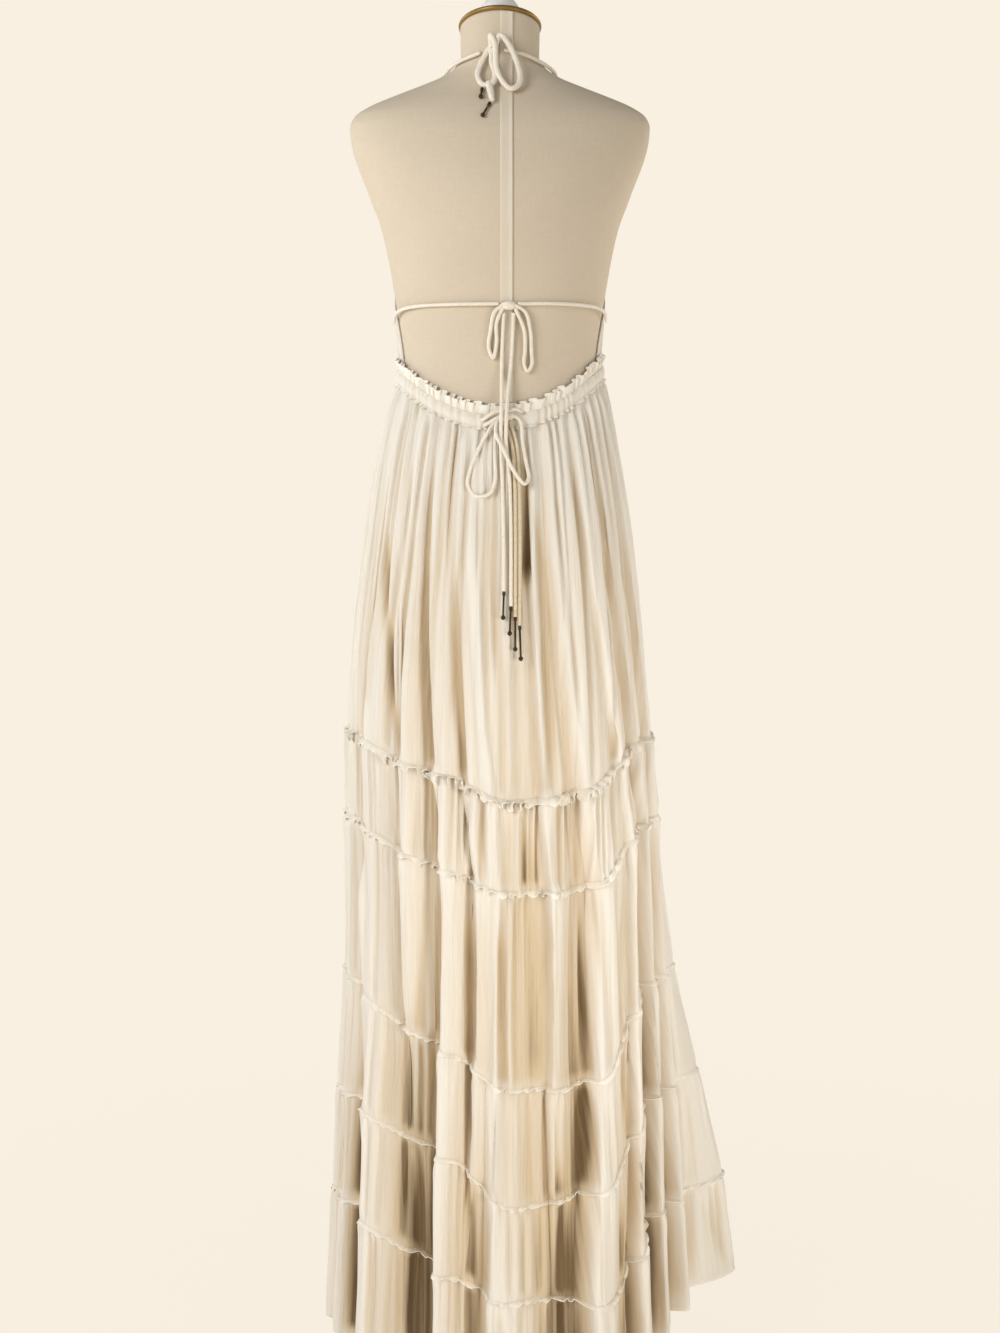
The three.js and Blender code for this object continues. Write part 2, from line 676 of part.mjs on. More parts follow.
const BACK_LOOP_RIGHT = [
  { across: 16, height: 1307, lift: 3 },
  { across: 29, height: 1299, lift: 3 },
  { across: 35, height: 1278, lift: 1 },
  { across: 36.5, height: 1254, lift: 0 },
  { across: 37, height: 1239, lift: 0 },
  { across: 32, height: 1231, lift: 0 },
  { across: 28, height: 1239, lift: 0 },
  { across: 29, height: 1256, lift: 1 },
  { across: 28, height: 1278, lift: 3 },
  { across: 18, height: 1302, lift: 3 },
];
addMesh(
  "back_tie_bow",
  unite([
    knotGeometry(BACK_KNOT, [9.5, 4.5, 5]),
    cordGeometry(BACK_LOOP_LEFT, CORD_DIAMETER, 11),
    cordGeometry(BACK_LOOP_RIGHT, CORD_DIAMETER, 12),
  ]),
  cordFinish,
);
const BACK_END_LEFT = [
  { across: 4.6, height: 1297, lift: 1.5 },
  { across: 3, height: 1270, lift: 0 },
  { across: 2, height: 1236, lift: 1 },
  { across: 2, height: 1206, lift: 9 },
  { across: 1.5, height: 1180, lift: 9 },
  { across: 1, height: 1150, lift: 6 },
  { across: 2.5, height: 1105, lift: 0 },
  { across: 4, height: 1048, lift: 0 },
  { across: 4.5, height: 979, lift: 0 },
];
const BACK_END_RIGHT = [
  { across: 15.6, height: 1297, lift: 1.5 },
  { across: 14.5, height: 1270, lift: 0 },
  { across: 12.5, height: 1236, lift: 1 },
  { across: 9, height: 1206, lift: 9 },
  { across: 7.5, height: 1180, lift: 9 },
  { across: 7, height: 1150, lift: 6 },
  { across: 11, height: 1105, lift: 0 },
  { across: 12.5, height: 1048, lift: 0 },
  { across: 12.5, height: 962, lift: 0 },
];
addMesh("back_tie_end_left", cordGeometry(BACK_END_LEFT, CORD_DIAMETER, 12), cordFinish);
addMesh("back_tie_end_right", cordGeometry(BACK_END_RIGHT, CORD_DIAMETER, 12), cordFinish);
addTip("back_tie_tip_left", { across: 4.5, height: 978.5, lift: 0 }, { across: 3.5, height: 946, lift: 0 });
addTip("back_tie_tip_right", { across: 12.5, height: 961.5, lift: 0 }, { across: 11, height: 928, lift: 0 });

// Drawstring bow on the waist casing
const WAIST_KNOT = { across: 8, height: 1179, lift: -0.6 };
const WAIST_LOOP_LEFT = [
  { across: 2, height: 1179, lift: 0 },
  { across: -9, height: 1168, lift: 0 },
  { across: -25, height: 1140, lift: 0 },
  { across: -35, height: 1115, lift: 0 },
  { across: -37, height: 1099, lift: 0 },
  { across: -27, height: 1087, lift: 0 },
  { across: -12, height: 1090, lift: 0 },
  { across: -6, height: 1104, lift: 0 },
  { across: -6, height: 1134, lift: 0 },
  { across: -4, height: 1164, lift: 0 },
  { across: 4, height: 1177, lift: 0 },
];
const WAIST_LOOP_RIGHT = [
  { across: 13, height: 1181, lift: 0 },
  { across: 23, height: 1174, lift: 1 },
  { across: 26, height: 1151, lift: 1 },
  { across: 30, height: 1126, lift: 2 },
  { across: 33, height: 1108, lift: 4 },
  { across: 28, height: 1101, lift: 8 },
  { across: 17, height: 1114, lift: 10 },
  { across: 5, height: 1138, lift: 13 },
  { across: -5, height: 1160, lift: 9 },
  { across: -3, height: 1173, lift: 3 },
  { across: 3, height: 1179, lift: 0 },
];
addMesh(
  "drawstring_bow",
  unite([
    knotGeometry(WAIST_KNOT, [9, 3.6, 5]),
    cordGeometry(WAIST_LOOP_LEFT, CORD_DIAMETER, 13),
    cordGeometry(WAIST_LOOP_RIGHT, CORD_DIAMETER, 13),
  ]),
  cordFinish,
);
const WAIST_END_INNER = [
  { across: 5.4, height: 1171, lift: -0.5 },
  { across: 14, height: 1146, lift: -0.5 },
  { across: 17, height: 1105, lift: 0 },
  { across: 17.8, height: 1048, lift: 0 },
  { across: 17.6, height: 950, lift: 0 },
];
const WAIST_END_OUTER = [
  { across: 11.4, height: 1173, lift: 0.6 },
  { across: 19.4, height: 1146, lift: -0.5 },
  { across: 22, height: 1105, lift: 0 },
  { across: 23, height: 1048, lift: 0 },
  { across: 22.6, height: 940, lift: 0 },
];
addMesh("drawstring_end_inner", cordGeometry(WAIST_END_INNER, CORD_DIAMETER, 9), cordFinish);
addMesh("drawstring_end_outer", cordGeometry(WAIST_END_OUTER, CORD_DIAMETER, 9), cordFinish);
addTip("drawstring_tip_inner", { across: 17.6, height: 949.5, lift: 0 }, { across: 17.5, height: 910, lift: 0 });
addTip("drawstring_tip_outer", { across: 22.6, height: 939.5, lift: 0 }, { across: 24, height: 899, lift: 0 });

// Form and its stand
addMesh("form_torso", torsoGeometry(), linen);
addMesh("form_back_tape", tapeGeometry(), tapeFinish);
addMesh("form_neck_rim", rimGeometry(), brassRim);
const knobSeat = new THREE.Group();
knobSeat.position.z = NECK_TOP + 2 * SEAM_GAP + RIM_HEIGHT;
knobSeat.rotation.x = -Math.atan(NECK_SLANT);
group.add(knobSeat);
const knobProfile = [
  [0, 0],
  [KNOB.neck, 0],
  [KNOB.neck, 0.2 * KNOB.height],
  [KNOB.radius, 0.5 * KNOB.height],
  [0.8 * KNOB.radius, 0.88 * KNOB.height],
  [0, KNOB.height],
];
addMesh("form_neck_knob", turned(knobProfile, ROUND_SIDES), paleKnob, knobSeat);
const poleLength = FORM[0].height - BASE.height - 2 * SEAM_GAP;
const pole = addMesh(
  "stand_pole",
  new THREE.CylinderGeometry(POLE_RADIUS, POLE_RADIUS, poleLength, ROUND_SIDES).rotateX(Math.PI / 2),
  iron,
);
pole.position.z = BASE.height + SEAM_GAP + poleLength / 2;
const baseProfile = [
  [0, 0],
  [BASE.radius, 0],
  [BASE.radius, BASE.rim],
  [BASE.hub, BASE.crown],
  [BASE.hub, BASE.height],
  [0, BASE.height],
];
addMesh("stand_base", turned(baseProfile, ROUND_SIDES), iron);

export default group;
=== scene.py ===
"""Tiered halter maxi dress of crinkle gauze, worn by a limbless dress form on a stand.

Tables and routes are in millimetres, in the part's frame: +Z up, the open back of the
dress towards -Y, and the origin at the centre of the base's underside. A turn is an
angle in degrees from the centre back, positive towards +X, so 180 is the centre front.
"""

import logging
import math
from collections.abc import Sequence
from dataclasses import dataclass, field
from enum import Enum

import bpy
import numpy as np
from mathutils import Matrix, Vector


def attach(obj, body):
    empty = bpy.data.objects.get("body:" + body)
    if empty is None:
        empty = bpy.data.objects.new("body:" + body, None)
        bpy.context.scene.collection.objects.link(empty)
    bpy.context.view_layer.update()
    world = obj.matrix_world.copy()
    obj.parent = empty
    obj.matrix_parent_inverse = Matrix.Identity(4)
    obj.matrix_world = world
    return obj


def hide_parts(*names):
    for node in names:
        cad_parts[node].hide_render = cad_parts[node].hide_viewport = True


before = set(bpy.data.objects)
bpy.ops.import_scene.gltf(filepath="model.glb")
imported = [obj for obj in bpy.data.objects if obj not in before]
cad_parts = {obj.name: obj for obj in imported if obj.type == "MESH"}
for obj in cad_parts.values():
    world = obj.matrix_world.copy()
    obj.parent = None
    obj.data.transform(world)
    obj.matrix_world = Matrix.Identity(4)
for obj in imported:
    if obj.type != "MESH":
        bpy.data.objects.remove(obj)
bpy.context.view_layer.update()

LOG = logging.getLogger("dress")
MM = 0.001
Array = np.ndarray
Material = bpy.types.Material
Piece = bpy.types.Object
Pair = tuple[float, float]
Triple = tuple[float, float, float]
Row = tuple[float, ...]
Colour = Triple


class Slot(Enum):
    """Material slots of the record."""

    GAUZE = "gauze"
    CORD = "cord"
    BRONZE = "bronze_tip"
    LINEN = "linen"
    TAPE = "form_tape"
    RIM = "neck_rim"
    KNOB = "neck_knob"
    STAND = "stand"


# Curves and waves


def hermite(share: Array, start: Array, leave: Array, end: Array, arrive: Array) -> Array:
    """Runs a curve from one point to another.

    Args:
        share: How far along, from 0 to 1.
        start: First point.
        leave: Direction at the first point.
        end: Last point.
        arrive: Direction at the last point.

    Returns:
        Points of the curve.
    """
    square, cube = share**2, share**3
    return (
        (2 * cube - 3 * square + 1) * start
        + (cube - 2 * square + share) * leave
        + (3 * square - 2 * cube) * end
        + (cube - square) * arrive
    )


def smooth_between(knots: Array, values: Array, at: Array) -> Array:
    """Runs a smooth curve through values without overshoot.

    Args:
        knots: Rising positions of the values.
        values: Values at the knots along the first axis.
        at: Positions to read the curve at.

    Returns:
        The curve's values, with at's axis first.
    """
    knots, values, at = (np.asarray(v, dtype=float) for v in (knots, values, at))
    shape = (-1,) + (1,) * (values.ndim - 1)
    step = np.diff(knots).reshape(shape)
    slope = np.diff(values, axis=0) / step
    before, after = slope[:-1], slope[1:]
    weight_before = 2 * step[1:] + step[:-1]
    weight_after = step[1:] + 2 * step[:-1]
    same_way = before * after > 0
    safe_before = np.where(same_way, before, 1.0)
    safe_after = np.where(same_way, after, 1.0)
    mean = (weight_before + weight_after) / (weight_before / safe_before + weight_after / safe_after)
    tangent = np.concatenate([slope[:1], np.where(same_way, mean, 0.0), slope[-1:]])
    here = np.clip(np.searchsorted(knots, at, side="right") - 1, 0, len(knots) - 2)
    width = step[here]
    share = (at - knots[here]).reshape(shape) / width
    return hermite(share, values[here], width * tangent[here], values[here + 1], width * tangent[here + 1])


def soft_step(value: Array, low: float, high: float) -> Array:
    """Rises smoothly from 0 at low to 1 at high."""
    share = np.clip((value - low) / (high - low), 0, 1)
    return share * share * (3 - 2 * share)


def even_turns(columns: int) -> Array:
    """Returns turns all round, evenly spaced."""
    return np.arange(columns) * 360 / columns


def sine_cosine(turn: Array) -> tuple[Array, Array]:
    """Returns the sine and the cosine of turns in degrees."""
    return np.sin(np.radians(turn)), np.cos(np.radians(turn))


def turned_away(turn: Array, centre: Array | float = 0.0) -> Array:
    """Returns how far turns are from a centre, from -180 to 180."""
    return (turn - centre + 180) % 360 - 180


def unit(vectors: Array) -> Array:
    """Returns vectors of length 1 in the same directions."""
    return vectors / np.linalg.norm(vectors, axis=-1, keepdims=True)


def run_lengths(points: Array) -> Array:
    """Returns the lengths of the lines that run along the first axis."""
    return np.linalg.norm(np.diff(points, axis=0), axis=-1).sum(axis=0)


def ring_lengths(points: Array) -> Array:
    """Returns the length of each row of a wrapped grid."""
    return np.linalg.norm(points - np.roll(points, 1, axis=1), axis=-1).sum(axis=1)


def outward(points: Array) -> Array:
    """Returns the unit normals of a wrapped grid whose rows run down."""
    on = np.roll(points, -1, axis=1) - np.roll(points, 1, axis=1)
    return unit(np.cross(np.gradient(points, axis=0), on))


class Wobble:
    """Smooth uneven curve round a ring, the same for the same seed."""

    count: int = 7
    loudness: float = 1.4

    def __init__(self, seed: int, waves: tuple[int, int]) -> None:
        """Draws the waves that the curve is the sum of.

        Args:
            seed: Seed of the draw.
            waves: Fewest and most waves in a turn.
        """
        draw = np.random.default_rng(seed)
        self.numbers = draw.integers(waves[0], waves[1] + 1, self.count)
        self.phases = draw.uniform(0, 2 * math.pi, self.count)

    def at(self, angle: Array) -> Array:
        """Returns the curve, mostly between -1 and 1, at angles in radians."""
        total = sum(np.sin(n * angle + p) for n, p in zip(self.numbers, self.phases))
        return total * math.sqrt(self.loudness / self.count)


@dataclass(frozen=True)
class Ruffle:
    """Uneven waves round a ring: how many, and how far spacing and height vary."""

    waves: int
    seed: int
    stray: float = 1.6
    unevenness: float = 0.35
    slow_waves: tuple[int, int] = (2, 9)
    quick_waves: tuple[int, int] = (11, 29)
    height_waves: tuple[int, int] = (5, 31)
    slow_gain: float = 2.2

    def phase(self, angle: Array) -> Array:
        """Returns the waves' phase at angles in radians."""
        slow = Wobble(self.seed, self.slow_waves).at(angle)
        quick = Wobble(self.seed + 1, self.quick_waves).at(angle)
        return self.waves * angle + self.stray * (self.slow_gain * slow + quick)

    def strength(self, angle: Array) -> Array:
        """Returns the waves' share of their full height at angles in radians."""
        return 1 + self.unevenness * Wobble(self.seed + 2, self.height_waves).at(angle)


@dataclass(frozen=True)
class Sway:
    """Drift of waves down the cloth: how far, over what length, and how many times round."""

    amount: float
    length: float
    times: int

    def at(self, below: Array, angle: Array) -> Array:
        """Returns the drift at distances down and angles in radians."""
        return self.amount * np.sin(below / self.length + self.times * angle)


# Meshes


class MeshMaker:
    """Collects grids and tubes of points, and makes one object of them."""

    end_tilts: Row = (82.0, 60.0, 32.0)
    end_bulge: float = 0.5
    least_side: float = 0.2

    def __init__(self) -> None:
        """Starts with nothing in it."""
        self.points: list[Array] = []
        self.faces: list[list[int]] = []
        self.uv: list[Array] = []
        self.crest: list[Array] = []
        self.count = 0

    def grid(
        self, points: Array, uv: Array, wraps: bool = False, flip: bool = False, crest: Array | None = None
    ) -> None:
        """Adds a grid of quads, which faces out where its rows run down and its columns turn on.

        Args:
            points: Rows by columns of points, in millimetres.
            uv: Rows by columns, with one column more where the grid wraps, in metres.
            wraps: Whether the last column joins the first.
            flip: Whether the faces turn the other way.
            crest: Level of painted shade at each point, from 0, the darkest, to 1, none; on the skirt it
                follows how far out of the folds the point lies.
        """
        rows, columns = points.shape[:2]
        across = columns if wraps else columns - 1
        i, j = np.meshgrid(np.arange(rows - 1), np.arange(across), indexing="ij")
        k = (j + 1) % columns
        ring = [(i, j, j), (i + 1, j, j), (i + 1, k, j + 1), (i, k, j + 1)]
        if flip:
            ring.reverse()
        corners = np.stack([row * columns + column for row, column, _ in ring], axis=-1)
        self.faces.extend((corners.reshape(-1, 4) + self.count).tolist())
        self.uv.append(np.stack([uv[row, place] for row, _, place in ring], axis=2).reshape(-1, 2))
        self.points.append(points.reshape(-1, 3))
        level = np.ones((rows, columns)) if crest is None else crest
        self.crest.append(level.reshape(-1))
        self.count += rows * columns

    def cap(self, corners: Sequence[int]) -> None:
        """Closes a hole with one face over points already added, counted from the start."""
        self.faces.append(list(corners))
        self.uv.append(np.zeros((len(corners), 2)))

    def ring(
        self, points: Array, length: float, heights: Array, crest: Array | None = None, caps: int = 0
    ) -> None:
        """Adds a wrapped grid, laid out flat as a rectangle.

        Args:
            points: Rows by columns of points, in millimetres.
            length: Length of the flat piece round the ring, in metres.
            heights: Place of each row down the flat piece, in metres.
            crest: As in grid.
            caps: How many of its ends are closed, the upper one first.
        """
        columns = points.shape[1]
        first = self.count
        share = np.arange(columns + 1)[None] / columns
        uv = np.stack(np.broadcast_arrays(share * length, heights[:, None]), axis=-1)
        self.grid(points, uv, wraps=True, crest=crest)
        ends = (range(first, first + columns), range(self.count - 1, self.count - columns - 1, -1))
        for end in ends[:caps]:
            self.cap(end)

    def tube(
        self, path: Array, radius: Array | float, sides: int, closed: bool = False, girth: float = 1.0
    ) -> None:
        """Adds a round tube along a path, with rounded ends unless it is closed.

        Args:
            path: Points of the centre line, in millimetres.
            radius: Radius, one for all points or one for each.
            sides: Points around.
            closed: Whether the last point joins the first.
            girth: Width of its map round the tube.
        """
        radius = np.broadcast_to(radius, len(path))
        ahead = np.roll(path, -1, axis=0) - np.roll(path, 1, axis=0)
        if not closed:
            ahead[0], ahead[-1] = path[1] - path[0], path[-1] - path[-2]
        ahead = unit(ahead)
        side = np.zeros_like(path)
        start = np.cross(ahead[0], (0.0, 1.0, 0.0))
        if np.linalg.norm(start) < self.least_side:
            start = np.cross(ahead[0], (1.0, 0.0, 0.0))
        side[0] = unit(start)
        for n in range(1, len(path)):
            side[n] = unit(side[n - 1] - ahead[n] * np.dot(side[n - 1], ahead[n]))
        if not closed:
            path, radius, ahead, side = self._rounded(path, radius, ahead, side)
        angle = np.arange(sides) * 2 * math.pi / sides
        cosine, sine = np.cos(angle)[None, :, None], np.sin(angle)[None, :, None]
        around = side[:, None] * cosine + np.cross(ahead, side)[:, None] * sine
        points = path[:, None] + around * radius[:, None, None]
        if closed:
            points = np.concatenate([points, points[:1]])
            path = np.concatenate([path, path[:1]])
        along = np.concatenate([[0], np.cumsum(np.linalg.norm(np.diff(path, axis=0), axis=1))])
        share = np.arange(sides + 1)[None] * girth / sides
        uv = np.stack(np.broadcast_arrays(share, along[:, None] * MM), axis=-1)
        first = self.count
        self.grid(points, uv, wraps=True, flip=True)
        if not closed:
            self.cap(range(first + sides - 1, first - 1, -1))
            self.cap(range(self.count - sides, self.count))

    def _rounded(
        self, path: Array, radius: Array, ahead: Array, side: Array
    ) -> tuple[Array, Array, Array, Array]:
        """Adds a few shrinking sections at both ends of a tube.

        Args:
            path: Points of the centre line.
            radius: Radius at each point.
            ahead: Direction at each point.
            side: Direction across at each point.

        Returns:
            The four lists with the end sections added.
        """
        tilt = np.radians(self.end_tilts)
        start = path[0] - ahead[0] * (self.end_bulge * radius[0] * np.sin(tilt))[:, None]
        end = path[-1] + ahead[-1] * (self.end_bulge * radius[-1] * np.sin(tilt))[:, None]
        ahead, side = (np.pad(v, ((len(tilt), len(tilt)), (0, 0)), mode="edge") for v in (ahead, side))
        path = np.concatenate([start, path, end[::-1]])
        radius = np.concatenate([radius[0] * np.cos(tilt), radius, (radius[-1] * np.cos(tilt))[::-1]])
        return path, radius, ahead, side

    def make(self, name: str, material: Material, slot: Slot, node: str = "") -> Piece:
        """Makes the object, which rides on the part's one body.

        Args:
            name: Name of the piece.
            material: Finish of the piece.
            slot: Material slot of the record; not used.
            node: Node of the part that it stands for, if any.

        Returns:
            The object, at the origin.
        """
        mesh = bpy.data.meshes.new(name)
        mesh.from_pydata((np.concatenate(self.points) * MM).tolist(), [], self.faces)
        layer = mesh.uv_layers.new(name="Cloth")
        layer.uv.foreach_set("vector", np.concatenate(self.uv).astype(np.float32).ravel())
        # The crest attribute holds the level of painted shade that the gauze material reads.
        level = mesh.attributes.new("crest", "FLOAT", "POINT")
        level.data.foreach_set("value", np.concatenate(self.crest).astype(np.float32))
        mesh.polygons.foreach_set("use_smooth", np.ones(len(mesh.polygons), dtype=bool))
        mesh.materials.append(material)
        mesh.update()
        piece = bpy.data.objects.new(name, mesh)
        bpy.context.scene.collection.objects.link(piece)
        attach(piece, "root")
        if node:
            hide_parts(node)
        LOG.info("%s: %d faces", name, len(mesh.polygons))
        return piece


# Nodes


class Value:
    """A node's output; Python's operators on it add Math nodes."""

    def __init__(self, builder: "NodeBuilder", socket: bpy.types.NodeSocket) -> None:
        """Wraps an output socket.

        Args:
            builder: Builder of the tree that the socket belongs to.
            socket: Output socket.
        """
        self.builder = builder
        self.socket = socket

    def _math(self, operation: str, other: "Value | float") -> "Value":
        """Adds one Math node and returns its result."""
        return self.builder.node("ShaderNodeMath", {0: self, 1: other}, operation=operation)

    def __add__(self, other: "Value | float") -> "Value":
        """Returns self + other."""
        return self._math("ADD", other)

    def __sub__(self, other: "Value | float") -> "Value":
        """Returns self - other."""
        return self._math("SUBTRACT", other)

    def __mul__(self, other: "Value | float") -> "Value":
        """Returns self * other."""
        return self._math("MULTIPLY", other)

    def limited(self) -> "Value":
        """Returns the value kept between 0 and 1."""
        return self.builder.node("ShaderNodeClamp", {"Value": self})


class NodeBuilder:
    """Builds a node tree from expressions."""

    def __init__(self, tree: bpy.types.NodeTree) -> None:
        """Empties the tree to build in."""
        self.tree = tree
        tree.nodes.clear()

    def node(
        self,
        kind: str,
        inputs: dict[str | int, object] | None = None,
        output: str | int = 0,
        **settings: str | bool,
    ) -> Value:
        """Adds a node.

        Args:
            kind: Type of the node.
            inputs: Values or links of its sockets, by name or number.
            output: Output wanted, by name or number.
            **settings: Properties, set first.

        Returns:
            That output.
        """
        made = self.tree.nodes.new(kind)
        for key, setting in settings.items():
            setattr(made, key, setting)
        for key, value in (inputs or {}).items():
            if isinstance(value, Value):
                self.tree.links.new(value.socket, made.inputs[key])
            else:
                made.inputs[key].default_value = value
        return Value(self, made.outputs[output])

    def end(self, kind: str, entry: str, value: Value) -> None:
        """Ends the tree in a node that takes one value."""
        self.tree.links.new(value.socket, self.tree.nodes.new(kind).inputs[entry])


class Shader(NodeBuilder):
    """Node tree of a material or a world."""

    def __init__(self, block: Material | bpy.types.World) -> None:
        """Starts with what the tree belongs to."""
        block.use_nodes = True
        super().__init__(block.node_tree)
        self.block = block

    @classmethod
    def named(cls, name: str) -> "Shader":
        """Returns the shader of a new material."""
        return cls(bpy.data.materials.new(name))

    def object_place(self, scale: float) -> Value:
        """Returns the object's own coordinates, scaled."""
        place = self.node("ShaderNodeTexCoord", output="Object")
        return self.node("ShaderNodeMapping", {"Vector": place, "Scale": (scale, scale, scale)})

    def noise(self, place: Value, detail: float, dimensions: str) -> Value:
        """Returns cloudy values from 0 to 1 at coordinates, finer with more detail."""
        inputs = {"Vector": place, "Scale": 1.0, "Detail": detail}
        return self.node("ShaderNodeTexNoise", inputs, noise_dimensions=dimensions)

    def cloth_noise(self, fineness: Pair, detail: float = 2.0) -> Value:
        """Returns noise over the piece's own flat coordinates.

        Args:
            fineness: Waves in a metre across and along the cloth.
            detail: How fine it goes.

        Returns:
            Values from 0 to 1.
        """
        place = self.node("ShaderNodeUVMap", uv_map="Cloth")
        scaled = self.node("ShaderNodeMapping", {"Vector": place, "Scale": (*fineness, 1.0)})
        return self.noise(scaled, detail, "2D")

    def blend(self, share: Value, low: Value | Colour, high: Colour) -> Value:
        """Mixes two colours.

        Args:
            share: Share of the second, from 0 to 1.
            low: First colour, given or worked out.
            high: Second colour.

        Returns:
            The mixed colour.
        """
        low = low if isinstance(low, Value) else (*low, 1.0)
        inputs = {"Factor": share, 6: low, 7: (*high, 1.0)}
        return self.node("ShaderNodeMix", inputs, 2, data_type="RGBA", clamp_factor=True)

    def bump(self, height: Value, strength: float, distance: float) -> Value:
        """Returns a normal that follows a height."""
        return self.node("ShaderNodeBump", {"Height": height, "Strength": strength, "Distance": distance})

    def cloth(
        self, colour: Value, normal: Value, roughness: float, gloss: float, sheen: float = 0.0
    ) -> Value:
        """Returns a matt surface.

        Args:
            colour: Its colour.
            normal: Its bumps.
            roughness: How rough it is.
            gloss: How strongly it reflects.
            sheen: How much its nap catches the light at its edges.

        Returns:
            The surface.
        """
        inputs = {
            "Base Color": colour,
            "Normal": normal,
            "Roughness": roughness,
            "Specular IOR Level": gloss,
            "Sheen Weight": sheen,
        }
        return self.node("ShaderNodeBsdfPrincipled", inputs)

    def close(self, surface: Value, end: str = "ShaderNodeOutputMaterial") -> Material | bpy.types.World:
        """Ends the tree in a surface and returns what it belongs to."""
        self.end(end, "Surface", surface)
        return self.block


@dataclass(frozen=True)
class GauzeFinish:
    """Thin crinkled cotton gauze, cream, with painted shade in its folds: lighter on their flanks and darkest
    at their feet.
    """

    name: str = "cream_crinkle_gauze"
    cream: Colour = (0.88, 0.835, 0.76)
    # Painted shade colours of the folds, the lighter then the darker.
    fold_shade: Colour = (0.66, 0.525, 0.35)
    deep_fold_shade: Colour = (0.17, 0.105, 0.045)
    through: Colour = (0.90, 0.82, 0.69)
    see_through: float = 0.12
    crinkle_fineness: Pair = (260.0, 9.0)
    pucker_fineness: Pair = (80.0, 22.0)
    weave_fineness: Pair = (1500.0, 1300.0)
    crinkle_detail: float = 3.0
    weave_detail: float = 1.0
    crinkle_shade: float = 0.24
    fold_shade_gain: float = 2.6
    cream_from: float = 0.4
    cream_gain: float = 1.75
    crinkle_depth: float = 0.55
    pucker_depth: float = 0.35
    weave_depth: float = 0.05
    bump: Pair = (0.8, 0.0028)
    roughness: float = 0.88
    gloss: float = 0.2
    sheen: float = 0.15

    def make(self) -> Material:
        """Returns the material."""
        shader = Shader.named(self.name)
        crinkle = shader.cloth_noise(self.crinkle_fineness, self.crinkle_detail)
        pucker = shader.cloth_noise(self.pucker_fineness)
        weave = shader.cloth_noise(self.weave_fineness, self.weave_detail)
        crest = shader.node("ShaderNodeAttribute", output="Fac", attribute_name="crest")
        # Level of painted shade: the crest attribute's painted fold shade, with painted shade and light on
        # the crinkles.
        level = (crest + crinkle * self.crinkle_shade - 0.5 * self.crinkle_shade).limited()
        # Mixes the painted fold shade colours, then cream where the level is high.
        deep = shader.blend((level * self.fold_shade_gain).limited(), self.deep_fold_shade, self.fold_shade)
        colour = shader.blend(((level - self.cream_from) * self.cream_gain).limited(), deep, self.cream)
        height = crinkle * self.crinkle_depth + pucker * self.pucker_depth + weave * self.weave_depth
        normal = shader.bump(height, *self.bump)
        cloth = shader.cloth(colour, normal, self.roughness, self.gloss, self.sheen)
        lit = shader.node("ShaderNodeBsdfTranslucent", {"Color": (*self.through, 1.0), "Normal": normal})
        return shader.close(shader.node("ShaderNodeMixShader", {0: self.see_through, 1: cloth, 2: lit}))


@dataclass(frozen=True)
class CordFinish:
    """Soft sewn cord of the same cloth, with small wrinkles along it."""

    name: str = "cream_cord"
    pale: Colour = (0.89, 0.85, 0.775)
    deep: Colour = (0.74, 0.65, 0.52)
    wrinkle_fineness: Pair = (3.0, 240.0)
    fuzz_fineness: Pair = (40.0, 1600.0)
    wrinkle_shade: float = 0.8
    fuzz_shade: float = 0.6
    darkening: float = 0.15
    wrinkle_depth: float = 0.6
    fuzz_depth: float = 0.3
    bump: Pair = (0.5, 0.0006)
    roughness: float = 0.85
    gloss: float = 0.2

    def make(self) -> Material:
        """Returns the material."""
        shader = Shader.named(self.name)
        wrinkle = shader.cloth_noise(self.wrinkle_fineness)
        fuzz = shader.cloth_noise(self.fuzz_fineness)
        # Painted shade, with the thread's uneven tone: darker where the wrinkle and fuzz bumps are low.
        share = (wrinkle * self.wrinkle_shade + fuzz * self.fuzz_shade - self.darkening).limited()
        normal = shader.bump(wrinkle * self.wrinkle_depth + fuzz * self.fuzz_depth, *self.bump)
        return shader.close(
            shader.cloth(shader.blend(share, self.deep, self.pale), normal, self.roughness, self.gloss)
        )


@dataclass(frozen=True)
class LinenFinish:
    """Plain woven cloth of the form and its tape."""

    name: str
    pale: Colour
    deep: Colour
    thread: float = 900.0
    slub: float = 60.0
    cloud_fineness: Pair = (9.0, 9.0)
    weave_shade: float = 0.8
    cloud_shade: float = 0.35
    darkening: float = 0.1
    bump: Pair = (0.35, 0.0008)
    roughness: float = 0.9
    gloss: float = 0.25

    def make(self) -> Material:
        """Returns the material."""
        shader = Shader.named(self.name)
        warp = shader.cloth_noise((self.thread, self.slub))
        weft = shader.cloth_noise((self.slub, self.thread))
        cloud = shader.cloth_noise(self.cloud_fineness)
        weave = warp * 0.5 + weft * 0.5
        # Darker where the weave bumps are low, painted shade between the threads with their uneven tone; the
        # cloud is the cloth's own uneven tone.
        share = (weave * self.weave_shade + cloud * self.cloud_shade - self.darkening).limited()
        normal = shader.bump(weave, *self.bump)
        return shader.close(
            shader.cloth(shader.blend(share, self.deep, self.pale), normal, self.roughness, self.gloss)
        )


@dataclass(frozen=True)
class HardFinish:
    """Metal, lacquer or paint with faint clouding."""

    name: str
    colour: Colour
    worn: Colour
    metallic: float
    roughness: float
    cloud_fineness: float = 120.0
    cloud_detail: float = 3.0
    cloud_roughness: float = 0.2

    def make(self) -> Material:
        """Returns the material."""
        shader = Shader.named(self.name)
        cloud = shader.noise(shader.object_place(self.cloud_fineness), self.cloud_detail, "3D")
        rough = cloud * self.cloud_roughness + (self.roughness - 0.5 * self.cloud_roughness)
        inputs = {
            "Base Color": shader.blend(cloud, self.colour, self.worn),
            "Roughness": rough.limited(),
            "Metallic": self.metallic,
        }
        return shader.close(shader.node("ShaderNodeBsdfPrincipled", inputs))


# Studio


